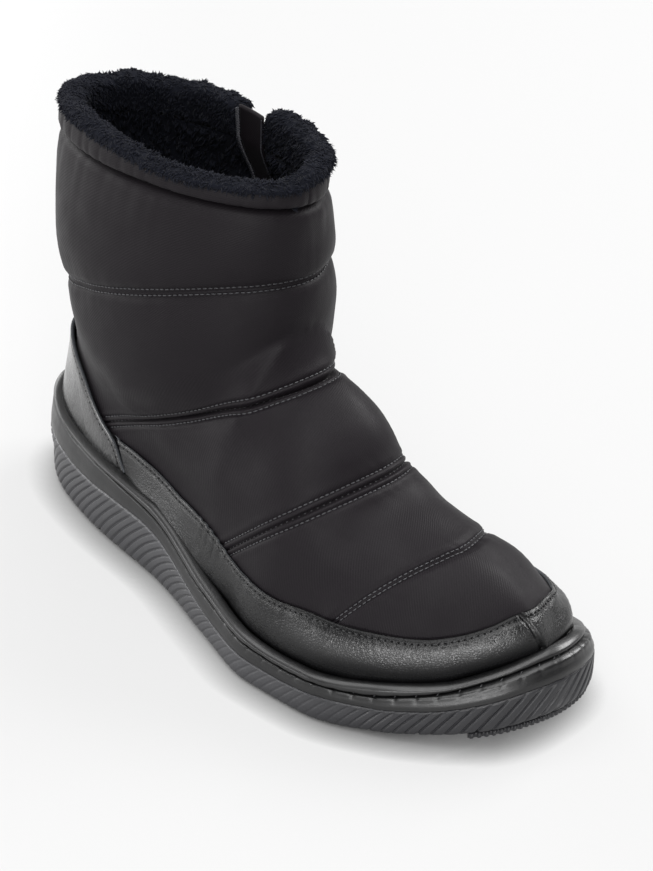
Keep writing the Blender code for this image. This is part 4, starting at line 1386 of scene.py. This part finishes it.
@once
def counter_surface():
    """Outer face of the heel counter, with a stitch channel inside its slanting edge."""
    turn = turn_of(70.0, np.full(261, 40.0)) * np.linspace(-1, 1, 261)
    shares = 1 - np.array(COUNTER_ROWS)
    turns, heights = leather_grid(shares, lambda z: turn, counter_top, 1.5, np.full(261, 60.0), 18)
    points = skin(turns, heights)
    out = skin_out(turns, heights)
    x, _, z = np.moveaxis(points, -1, 0)
    slope = counter_top(x + 0.5) - counter_top(x - 0.5)
    below = (counter_top(x) - z) / np.sqrt(1 + slope ** 2)
    push = np.full(x.shape, COUNTER_OUTSIDE)
    push -= 0.3 * bell(below / 0.4)
    push -= 0.30 * bell((below - COUNTER_STITCHES_IN) / 0.8)
    push += 0.22 * drift(points, 28.0, 33) + 0.06 * drift(points, 9.0, 34)
    return points + out * push[..., None], out


def guard_polish():
    """How far the mudguard's finish is rubbed up: most along the middle of the toe, least below it."""
    points, _ = guard_surface()
    x, y, _ = np.moveaxis(points, -1, 0)
    down = walk(points)
    toe = ease((x - 170.0) / 40.0) * ease((14.0 - y) / 10.0)
    side = 0.5 - 0.16 * ease((x - 105.0) / 30.0)
    return side + toe * (bell((down / down[-1] - 0.62) / 0.22) - side)


def make_leather():
    """Leather of the upper: mudguard round the front and counter round the heel, with cut edges."""
    made = []
    for name, surface, thick, look, node_name in (
            ("pebbled_mudguard", guard_surface(), GUARD_THICK, "cow_leather_tumbled", "mudguard"),
            ("lasted_heel_counter", counter_surface(), COUNTER_THICK, "cow_leather_lasted", "heel_counter")):
        piece = sheet(name, *surface)
        if node_name == "mudguard":
            mark(piece, "polish", guard_polish().ravel())
        piece.data.materials.append(leather(look))
        piece.data.materials.append(raw_edge())
        thicken(piece, thick, material_offset_rim=1)
        mend(piece, closed=False)
        made.append(done(piece, "upper_leather", None, node_name))
    return made


def edge_path(surface, inside):
    """A path a little way inside the top edge of a leather piece, along its outer face."""
    points, out = (values[::-1] for values in surface)
    return path_at(inside, walk(points), points, out)


def make_leather_stitches(sizes):
    """Stitch row along each leather edge: flat threads between needle holes, drawn dark with painted shade."""
    threads = []
    holes = []
    pitch = sizes.hole_pitch / MM
    for surface, inside in ((guard_surface(), GUARD_STITCHES_IN), (counter_surface(), COUNTER_STITCHES_IN)):
        path, out = edge_path(surface, inside)
        shown = path[:, 2] >= line_at(sole_place(path[:, 0]), BEAD_TOP) + 0.5
        path, out = path[shown], out[shown]
        threads.append(stitch_places(path, out, pitch, pitch * LEATHER_SHARE, *STITCHES["leather"]))
        # The holes lie half a step on, where one stitch ends and the next begins
        begun = np.searchsorted(walk(path), pitch / 2)
        holes.append(stitch_places(path[begun:], out[begun:], pitch, *STITCHES["needle hole"]))
    sewn("leather_stitches", threads, "upper_leather", thread("polyester_thread_waxed"))
    return sewn("leather_needle_holes", holes, "upper_leather", sunk_thread_painted_shade())


# The collar


def rim_height(turn):
    """Height of the shaft's sloping rim at an angle round it."""
    share = (1 - np.cos(turn)) / 2
    return PANELS[-1][3] + (PANELS[-1][1] - PANELS[-1][3]) * share


def collar_path(count, notch=NOTCH_HALF):
    """Points and level outward directions round the top of the shaft, from one side of the notch on."""
    middle = 2 * np.pi - turn_of(NOTCH_X, rim_height(np.array(0.0)))
    half = notch / 60.0
    turn = middle + np.linspace(half, 2 * np.pi - half, 4 * count)
    here = skin(turn, rim_height(turn))
    way = skin(turn + 4e-3, rim_height(turn)) - skin(turn - 4e-3, rim_height(turn))
    out = unit(np.column_stack((way[:, 1], -way[:, 0], np.zeros(len(turn)))))
    run = walk(here)
    steps = np.linspace(0, run[-1], count)
    return sampled(steps, run, here), unit(sampled(steps, run, out)), steps


def collar_stretch(here):
    """How tall the collar stands: most in front of the notch, least over the instep."""
    x, y, _ = here.T
    taller = 0.18 * ease((y - 5.0) / 20.0) * ease((x - 68.0) / 12.0)
    return 1 + taller - 0.36 * ease((x - 45.0) / 50.0) * ease((10.0 - y) / 25.0)


def collar_section(table, fine, here):
    """How far out and how far up each line of a section runs round the collar."""
    section = np.array(table)
    run = walk(section)
    lines = sampled(fine, run / run[-1], section)
    return lines[:, :1] + np.zeros(len(here)), lines[:, 1:] * collar_stretch(here)


def swept(section_out, section_up, here, out):
    """A closed section carried round the collar and rounded off at both ends of the notch."""
    rows = here[None] + out[None] * section_out[..., None]
    rows[..., 2] += section_up
    middle = rows.mean(axis=0)
    way = unit(np.gradient(here, axis=0))
    ends = []
    for column, sign in ((0, -1), (-1, 1)):
        for shrink, reach in ((0.86, 0.6), (0.55, 1.1), (0.0, 1.3)):
            ends.append(middle[column] + (rows[:, column] - middle[column]) * shrink + way[column] * sign * reach)
    first = np.stack((ends[2], ends[1], ends[0]), axis=1)
    last = np.stack((ends[3], ends[4], ends[5]), axis=1)
    rows = np.concatenate((first, rows, last), axis=1)
    return np.concatenate((rows, rows[:1]), axis=0)


def make_binding():
    """Collar binding: a soft nylon roll with small upright gathers, drawn in along its lower edge."""
    here, out, run = collar_path(520)
    fine = np.linspace(0, 1, 30)
    offset, rise = collar_section(BAND_SECTION, fine, here)
    shown = ease(fine / 0.3) * ease((1 - fine) / 0.3)
    folds = gathers(run, run[-1], 81, 7.5, 1.3) - 0.6 * gathers(run, run[-1], 82, 9.0, 2.2)
    low_folds = gathers(run, run[-1], 83, 4.5, 1.0)
    offset -= 0.34 * shown[:, None] * folds
    offset -= 0.30 * low_folds * (shown * ease((0.55 - fine) / 0.3))[:, None]
    offset += 0.35 * drift(here, 38.0, 84) * shown[:, None]
    rise += 0.30 * drift(here, 31.0, 85) * ease(fine / 0.6)[:, None]
    piece = mend(loft("collar_binding", swept(offset, rise, here, out)))
    done(piece, "shell_nylon", nylon_cloth(), "collar_band")
    return piece


def make_binding_stitches():
    """Thread in the crease under the binding, near-black with painted shade for the crease."""
    here, out, _ = collar_path(520)
    path = here + out * 0.55
    path[:, 2] += 0.25
    frames = [stitch_places(path, out, *STITCHES["binding"])]
    return sewn("binding_stitches", frames, "shell_nylon", sunk_thread_painted_shade())


def locks(name, base, roots, ways, seed, long, wide, droop):
    """Plush locks standing on a base: each a thin three-sided spike with one bend, darkened at its root by painted
    shade.
    """
    draw = np.random.default_rng(seed)
    count = len(roots)
    length = long * draw.uniform(0.55, 1.25, count)[:, None]
    girth = wide * draw.uniform(0.7, 1.3, count)[:, None]
    side = unit(np.cross(ways, draw.normal(size=(count, 3))))
    other = np.cross(ways, side)
    bend = unit(side * draw.normal(size=(count, 1)) + other * draw.normal(size=(count, 1))) * 0.35 + droop
    rings = []
    painted_shading_by_ring = []
    for step, width in ((0.0, 1.0), (0.55, 0.72)):
        middle = roots + ways * length * step + bend * length * step ** 2
        for k in range(3):
            angle = 2 * np.pi * k / 3
            rings.append(middle + (side * np.cos(angle) + other * np.sin(angle)) * girth * width / 2)
            painted_shading_by_ring.append(np.full(count, step * 0.8))
    rings.append(roots + ways * length + bend * length)
    painted_shading_by_ring.append(draw.uniform(0.7, 1.0, count))
    points = np.stack(rings, axis=1).reshape(-1, 3)
    faces = [(0, 2, 1)]
    for k in range(3):
        m = (k + 1) % 3
        faces += [(k, m, 3 + m), (k, 3 + m, 3 + k), (3 + k, 3 + m, 6)]
    index = np.array(faces)[None] + (np.arange(count) * 7)[:, None, None]
    piece = joined(name, points, index.reshape(-1, 3))
    # Painted shade: each lock dark at its root and paler at its tip, and the whole lock lighter or darker at random
    mark(piece, "shade", np.stack(painted_shading_by_ring, axis=1).ravel() * np.repeat(draw.uniform(0.6, 1.0, count), 7))
    # Painted shade on the base under the locks, nearly as dark as their roots
    mark(base, "shade", np.full(len(base.data.vertices), 0.12))
    pick(piece)
    base.select_set(True)
    bpy.context.view_layer.objects.active = base
    bpy.ops.object.join()
    return base


def spread_over(points, out, count, seed, weight=None):
    """Random places over a grid of points, evenly by area, with the outward direction of each."""
    draw = np.random.default_rng(seed)
    wide = np.linalg.norm(points[:, 1:] - points[:, :-1], axis=-1)[:-1]
    tall = np.linalg.norm(points[1:] - points[:-1], axis=-1)[:, :-1]
    area = (wide * tall).ravel()
    if weight is not None:
        area = area * weight[:-1, :-1].ravel()
    cell = draw.choice(len(area), size=count, p=area / area.sum())
    row, column = np.divmod(cell, points.shape[1] - 1)
    u = draw.uniform(size=(count, 1))
    v = draw.uniform(size=(count, 1))

    def mixed(values):
        return ((values[row, column] * (1 - u) + values[row, column + 1] * u) * (1 - v)
                + (values[row + 1, column] * (1 - u) + values[row + 1, column + 1] * u) * v)

    return mixed(points), unit(mixed(out))


def clumped(roots, ways, seed, size, pull):
    """Lean the locks of each small clump towards its middle, as brushed plush gathers."""
    draw = np.random.default_rng(seed)
    cell = np.floor(roots / size + draw.uniform(size=3)).astype(int)
    key = cell[:, 0] * 73856093 ^ cell[:, 1] * 19349663 ^ cell[:, 2] * 83492791
    _, group = np.unique(key, return_inverse=True)
    total = np.zeros((group.max() + 1, 3))
    np.add.at(total, group, roots)
    middle = total / np.bincount(group)[:, None]
    lean = draw.normal(size=(group.max() + 1, 3))[group] * 0.35
    return unit(ways + pull * (middle[group] - roots) / size + lean)


def pile_out(rows):
    """Outward directions of a closed section that is carried round the collar."""
    ways = unit(np.cross(np.gradient(rows, axis=1), np.gradient(rows, axis=0)))
    top = np.argmax(rows[:, rows.shape[1] // 2, 2])
    return ways if ways[top, :, 2].mean() > 0 else -ways


def make_collar_pile(sizes):
    """Plush turned over the collar: an uneven fold with brushed locks over all that shows."""
    here, out, _ = collar_path(420)
    fine = np.linspace(0, 1, 45)[:-1]
    offset, rise = collar_section(PILE_SECTION + PILE_SECTION[:1], fine, here)
    spread = here[None] + out[None] * offset[..., None] + np.array((0, 0, 1.0)) * rise[..., None]
    top = ease((rise - 8.0) / 5.0) * ease((fine / 0.06))[:, None] * ease((0.80 - fine) / 0.05)[:, None]
    rise = rise + top * (0.45 * drift(spread, 9.0, 91) + 0.6 * drift(here, 34.0, 92))
    offset = offset + 0.35 * top * drift(spread, 7.0, 96)
    rows = swept(offset, rise, here, out)
    base = mend(loft("collar_pile", rows))
    shown = np.concatenate((np.ones(36), np.zeros(len(rows) - 36)))[:, None] + np.zeros(rows.shape[1])
    roots, ways = spread_over(rows, pile_out(rows), COLLAR_LOCKS, 93, shown)
    ways = clumped(roots, unit(ways + (0.0, 0.0, -0.9)), 94, 3.0, 0.7)
    length = sizes.pile_length / MM
    base = locks("pile_locks", base, roots - ways * 0.3, ways, 95, length, COLLAR_LOCK_WIDTH, np.array((0, 0, -0.2)))
    done(base, "pile_fur", plush_pile(), "collar_fur")
    return base


def lining_depth(z):
    """How far inside the shell the lining lies: further in where it turns over the collar."""
    return 3.2 + 2.4 * ease((z - 160.0) / 22.0)


def flap_edges(z):
    """Rear and front edge of the flap in the slit, along the boot."""
    return NOTCH_X + np.interp(z, *columns(FLAP, 0, 1)), NOTCH_X + np.interp(z, *columns(FLAP, 0, 2))


def in_slit(points):
    """Where the lining is cut away for the flap: 1 inside the slit, 0 away from it."""
    x, y, z = np.moveaxis(points, -1, 0)
    rear, front = flap_edges(z)
    inside = ease((x - rear + 1.0) / 1.5) * ease((front + 1.0 - x) / 1.5)
    return np.where((y > 0) & (z > FLAP[0][0]), inside, 0.0)


def make_lining():
    """Plush lining of the whole inside, in soft upright folds, with locks where the shaft is open."""
    grid, _, _ = shell_base(70)
    rows = grid[::2]
    flat = rows.copy()
    flat[..., 2] -= collar_drop(rows[..., 1], rows[..., 2])
    out = grid_out(flat)
    run = walk_rows(flat)
    z = rows[..., 2]
    folds = 1.6 * gathers(run, run.max(), 101, 19.0, 5.0) * ease((182.0 - z) / 25.0)
    slit = in_slit(rows)
    depth = lining_depth(z) + (1 - slit) * ease((z - 90.0) / 50.0) * (folds + 0.4 * drift(flat, 20.0, 102))
    inner = flat - out * depth[..., None]
    base = sheet("plush_lining", inner, out)
    mend(base, closed=False)
    thicken(base, LINING_THICK)
    shown = (ease((z - 100.0) / 40.0) + 0.01) * (slit < 0.5)
    roots, ways = spread_over(inner, -out, LINING_LOCKS, 103, shown)
    ways = clumped(roots, unit(ways + (0, 0, -0.8)), 104, 3.4, 0.8)
    base = locks("lining_locks", base, roots + ways * 0.4, ways, 105, LINING_LOCK_LENGTH, LINING_LOCK_WIDTH,
                 np.array((0, 0, -0.3)))
    return done(base, "lining_fabric", plush_pile())


# The zip


def medial_sheet(x, z, offset):
    """Points at a distance from the zip side of the shaft, for a grid of places on it."""
    x, z = np.broadcast_arrays(np.asarray(x, dtype=float), z)
    held = np.minimum(z, 181.0)
    y = skin_y(x, held, 1)
    slope = skin_y(x + 0.5, held, 1) - skin_y(x - 0.5, held, 1)
    out = unit(np.stack((-slope, np.ones_like(x), np.zeros_like(x)), axis=-1))
    points = np.stack((x, y, z - collar_drop(y, held)), axis=-1)
    return points + out * np.asarray(offset)[..., None], out


def make_zip_flap():
    """Guard flap behind the zip: two layers of nylon, turned and edge-stitched, bowed a little."""
    across = np.sin(np.linspace(-np.pi / 2, np.pi / 2, 33))[None, :]
    z = np.linspace(FLAP[0][0], FLAP[-1][0], 61)[:, None]
    rear, front_edge = flap_edges(z)
    x = (rear + front_edge) / 2 + across * (front_edge - rear) / 2
    bow = 0.6 * (1 - across ** 2) + 0.2 * np.sin(z / 9.0)
    thick = 0.65 * np.minimum(1.0, 0.4 + (1 - np.abs(across)) * 4)
    points, out = medial_sheet(x, z, -(lining_depth(z) + 2.0))
    front = points + out * (thick + 0.3 * bow)[..., None]
    behind = points - out * (thick - 0.3 * bow)[..., None]
    rows = np.concatenate((front, behind[:, ::-1]), axis=1)
    middle = (front + behind) / 2
    caps = [np.concatenate((middle[k], middle[k, ::-1]), axis=0) for k in (0, -1)]
    rows = np.concatenate((caps[0][None], rows, caps[1][None]), axis=0)
    body("zip_guard_flap", rows, "shell_nylon", nylon_cloth(), "zip_guard")
    z = np.linspace(FLAP[-1][0] - 1.0, FLAP[0][0], 160)[:, None]
    frames = []
    for edge, aside, *how in OVERLOCK:
        line, out = medial_sheet(flap_edges(z)[edge] + aside, z, -(lining_depth(z) + 3.0) - 0.4 * (1 - edge))
        frames.append(stitch_places(line[:, 0], -out[:, 0], *how))
    return sewn("overlock_stitches", frames, "lining_fabric", thread("polyester_thread_textured"))


def zip_row(x, z, offset, use):
    """Stitches of one kind along a line on the zip."""
    line, out = medial_sheet(x, z, offset)
    return stitch_places(line.reshape(-1, 3), out.reshape(-1, 3), *STITCHES[use])


def make_zip():
    """Zip on the hidden side: woven tape sewn down along both edges, with a closed coil in its middle."""
    x = NOTCH_X + np.linspace(-ZIP_TAPE_HALF, ZIP_TAPE_HALF, 41)[None, :]
    z = np.linspace(ZIP_LOW, ZIP_HIGH, 121)[:, None]
    away = np.abs(x - NOTCH_X)
    height = 1.15 - 0.5 * ease((away - 9.0) / 1.0) + 0.35 * bell((away - 3.6) / 0.9) - 0.45 * bell(away / 1.6)
    height = height - 0.3 * ease((ZIP_LOW + 1.0 - z) / 1.0)
    points, out = medial_sheet(x, z, height)
    tape = sheet("zip_tape_woven", points, out)
    thicken(tape, ZIP_TAPE_THICK)
    done(tape, "zip_tape", woven_tape(), "zip_tape")
    z = np.linspace(ZIP_LOW + 2, ZIP_HIGH, 200)
    coil = zip_row(NOTCH_X, z[6:], 1.25, "zip coil")
    edges = [zip_row(NOTCH_X + side * 7.4, z, 1.2, "zip edge") for side in (-1, 1)]
    bar = zip_row(NOTCH_X + np.linspace(-3.2, 3.2, 20), ZIP_LOW + 3, 1.25, "zip bar")
    sewn("zip_coil", [coil], "zip_tape", woven_tape())
    return sewn("zip_stitches", [*edges, bar], "zip_tape", thread("polyester_thread_bonded"))


# The stage


def softbox(name, place, aim, size, power):
    """A square studio light that faces a point."""
    lamp = bpy.data.lights.new(name, "AREA")
    lamp.shape = "RECTANGLE"
    lamp.size, lamp.size_y = size
    lamp.energy = power
    item = bpy.data.objects.new(name, lamp)
    item.location = place
    item.rotation_euler = (Vector(aim) - Vector(place)).to_track_quat("-Z", "Y").to_euler()
    bpy.context.collection.objects.link(item)


def make_stage():
    """Pale floor, soft studio light and the camera at the photographer's stand."""
    floor = bare("plane", "studio_floor", size=FLOOR_SIZE)
    look = Look("painted_board_matt", colour_of("floor"), roughness=0.9, specular_ior_level=0.1,
                emission_color=(1.0, 1.0, 1.0, 1.0))
    mottle = look.node("TexNoise", {"Vector": look.place, "Scale": 3.0}, "Fac")
    leftwards = look.node("VectorMath", {0: look.place, 1: LEFTWARDS}, "Value", operation="DOT_PRODUCT")
    # Painted light: the floor glows, more on the left, and a painted shadow dims the glow near the sole
    glow = look.ramp(leftwards, FLOOR_GLOW, LEFT_GLOW, *LEFT_RANGE, interpolation_type="SMOOTHSTEP")
    leaning = look.node("CombineXYZ", dict(zip("XYZ", PAINTED_SHADOW_LEAN)))
    painted_shadow_ao = look.node("AmbientOcclusion", {"Distance": PAINTED_SHADOW_REACH, "Normal": leaning}, "AO")
    painted_shadow = look.node("Math", {0: painted_shadow_ao, 1: PAINTED_SHADOW_FALL}, operation="POWER")
    shown = look.node("Math", {0: glow, 1: painted_shadow}, operation="MULTIPLY")
    floor.data.materials.append(look.finish(base_color=look.mix(mottle, 1.0, 0.995), emission_strength=shown))
    scene = bpy.context.scene
    scene.view_settings.view_transform = "Standard"
    world = bpy.data.worlds.new("studio")
    scene.world = world
    world.use_nodes = True
    background = world.node_tree.nodes["Background"]
    background.inputs["Color"].default_value = (1.0, 1.0, 1.0, 1.0)
    background.inputs["Strength"].default_value = ROOM_LIGHT
    for name, place, size, radiance in LIGHTS:
        softbox(name, place, LIGHT_AIM, size, radiance * np.pi * size[0] * size[1])
    a, e, r = np.radians((CAMERA_AZIMUTH, CAMERA_ELEVATION, CAMERA_ROLL))
    back = Vector((np.sin(a) * np.cos(e), -np.cos(a) * np.cos(e), np.sin(e)))
    level = Vector((np.cos(a), np.sin(a), 0.0))
    upright = back.cross(level)
    right = level * np.cos(r) + upright * np.sin(r)
    up = upright * np.cos(r) - level * np.sin(r)
    lens = bpy.data.cameras.new("camera")
    lens.lens = CAMERA_LENS
    camera = bpy.data.objects.new("camera", lens)
    turned = Matrix((right, up, back)).transposed().to_4x4()
    turned.translation = (Vector(CAMERA_AIM) + back * CAMERA_AWAY) * MM
    camera.matrix_world = turned
    bpy.context.collection.objects.link(camera)
    scene.camera = camera


# The add-on


def measure(name, description, value, least, most):
    """A length property from millimetres."""
    return bpy.props.FloatProperty(name=name, description=description, default=value * MM, min=least * MM,
                                   max=most * MM, unit="LENGTH")


class BootSizes(bpy.types.PropertyGroup):
    """Sizes of the boot's finish that a maker may change."""
    puff: bpy.props.FloatProperty(name="Puff", description="Swelling of the padding, as a share of the pattern's",
                                  default=1.0, min=0.0, max=1.5, subtype="FACTOR")
    pucker: measure("Pucker", "Depth of the puckers along a seam with a depth of 1", 1.0, 0.0, 3)
    stitch_pitch: measure("Stitch pitch", "Step of the quilting stitches", 2.3, 1, 6)
    stitch_width: measure("Thread width", "Width of the quilting thread", 0.62, 0.2, 2)
    hole_pitch: measure("Needle hole pitch", "Step of the holes in the leather", 2.6, 1, 6)
    lasting_pitch: measure("Lasting pitch", "Step of the stitches under the bead", 8.3, 3, 20)
    rib_pitch: measure("Rib pitch", "Step of the ribs round the sole", 4.5, 2, 12)
    rib_depth: measure("Rib depth", "Depth of a rib where its share is 1", 1.15, 0.0, 2)
    pile_length: measure("Pile length", "Length of the collar's plush locks", 2.1, 1, 8)


def paint(name, description, code):
    """A colour property from an sRGB hex value."""
    return bpy.props.FloatVectorProperty(name=name, description=description, size=3, min=0.0, max=1.0,
                                         subtype="COLOR", default=linear(code))


class BootColours(bpy.types.PropertyGroup):
    """Colours of the boot's materials."""
    nylon: paint("Nylon", "Quilted shell and collar binding", "110e11")
    leather: paint("Leather", "Mudguard and heel counter", "0d0d0e")
    wrap: paint("Wrap", "Coated leather of the platform and the bead", "0e0e0f")
    raw_edge: paint("Cut edge", "Cut edges of the leather", "3a3c3f")
    rubber: paint("Rubber", "Outsole and toe tread", "333336")
    pile: paint("Pile", "Plush collar and lining", "1c1e27")
    thread: paint("Thread", "Sewing thread", "303033")
    waxed: paint("Waxed thread", "Thread along the leather edges", "151517")
    overlock: paint("Overlock", "Thread round the lining's cut edge", "38383d")
    tape: paint("Zip tape", "Zip tape and coil", "161618")
    floor: paint("Floor", "Studio floor", "696969")


class BOOT_OT_sole(bpy.types.Operator):
    """Mould the outsole and its toe tread"""
    bl_idname = "boot.sole"
    bl_label = "Outsole"

    def execute(self, context):
        make_outsole(context.scene.boot_sizes)
        make_toe_tread()
        return {"FINISHED"}


class BOOT_OT_platform(bpy.types.Operator):
    """Wrap the platform, roll the welt bead over its seam and sew it"""
    bl_idname = "boot.platform"
    bl_label = "Platform and welt"

    def execute(self, context):
        make_platform(context.scene.boot_sizes)
        make_welt(context.scene.boot_sizes)
        make_lasting_stitches(context.scene.boot_sizes)
        return {"FINISHED"}


class BOOT_OT_insole(bpy.types.Operator):
    """Lay the pile insole"""
    bl_idname = "boot.insole"
    bl_label = "Insole"

    def execute(self, context):
        make_insole()
        return {"FINISHED"}


class BOOT_OT_shell(bpy.types.Operator):
    """Pad and quilt the nylon shell, and sew its seams"""
    bl_idname = "boot.shell"
    bl_label = "Quilted shell"

    def execute(self, context):
        make_shell()
        make_seam_stitches(context.scene.boot_sizes)
        return {"FINISHED"}


class BOOT_OT_leather(bpy.types.Operator):
    """Cut the mudguard and the heel counter, and sew their edges"""
    bl_idname = "boot.leather"
    bl_label = "Leather"

    def execute(self, context):
        make_leather()
        make_leather_stitches(context.scene.boot_sizes)
        return {"FINISHED"}


class BOOT_OT_collar(bpy.types.Operator):
    """Bind the collar and brush its plush roll and the lining"""
    bl_idname = "boot.collar"
    bl_label = "Collar and lining"

    def execute(self, context):
        make_binding()
        make_binding_stitches()
        make_collar_pile(context.scene.boot_sizes)
        make_lining()
        return {"FINISHED"}


class BOOT_OT_zip(bpy.types.Operator):
    """Sew in the zip and the flap behind it"""
    bl_idname = "boot.zip"
    bl_label = "Zip"

    def execute(self, context):
        make_zip_flap()
        make_zip()
        return {"FINISHED"}


class BOOT_OT_stage(bpy.types.Operator):
    """Set the floor, the lights and the camera"""
    bl_idname = "boot.stage"
    bl_label = "Stage"

    def execute(self, context):
        make_stage()
        return {"FINISHED"}


STEPS = (BOOT_OT_sole, BOOT_OT_platform, BOOT_OT_insole, BOOT_OT_shell, BOOT_OT_leather, BOOT_OT_collar,
         BOOT_OT_zip, BOOT_OT_stage)


class BOOT_PT_pieces(bpy.types.Panel):
    """Lists the boot's pieces, sizes and colours"""
    bl_idname = "BOOT_PT_pieces"
    bl_label = "Padded Winter Boot"
    bl_space_type = "VIEW_3D"
    bl_region_type = "UI"
    bl_category = "Boot"

    def draw(self, context):
        for step in STEPS:
            self.layout.operator(step.bl_idname)
        for group in (context.scene.boot_sizes, context.scene.boot_colours):
            for key in group.bl_rna.properties.keys():
                if key not in ("rna_type", "name"):
                    self.layout.prop(group, key)


CLASSES = (BootSizes, BootColours, *STEPS, BOOT_PT_pieces)


def register():
    """Add the boot's classes and its settings on the scene."""
    for item in CLASSES:
        bpy.utils.register_class(item)
    bpy.types.Scene.boot_sizes = bpy.props.PointerProperty(type=BootSizes)
    bpy.types.Scene.boot_colours = bpy.props.PointerProperty(type=BootColours)


def unregister():
    """Take the boot's classes and settings away again."""
    del bpy.types.Scene.boot_colours
    del bpy.types.Scene.boot_sizes
    for item in reversed(CLASSES):
        bpy.utils.unregister_class(item)


def main():
    """Make every piece in order."""
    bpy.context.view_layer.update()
    register()
    for step in STEPS:
        group, name = step.bl_idname.split(".")
        getattr(getattr(bpy.ops, group), name)()


if __name__ == "__main__":
    main()
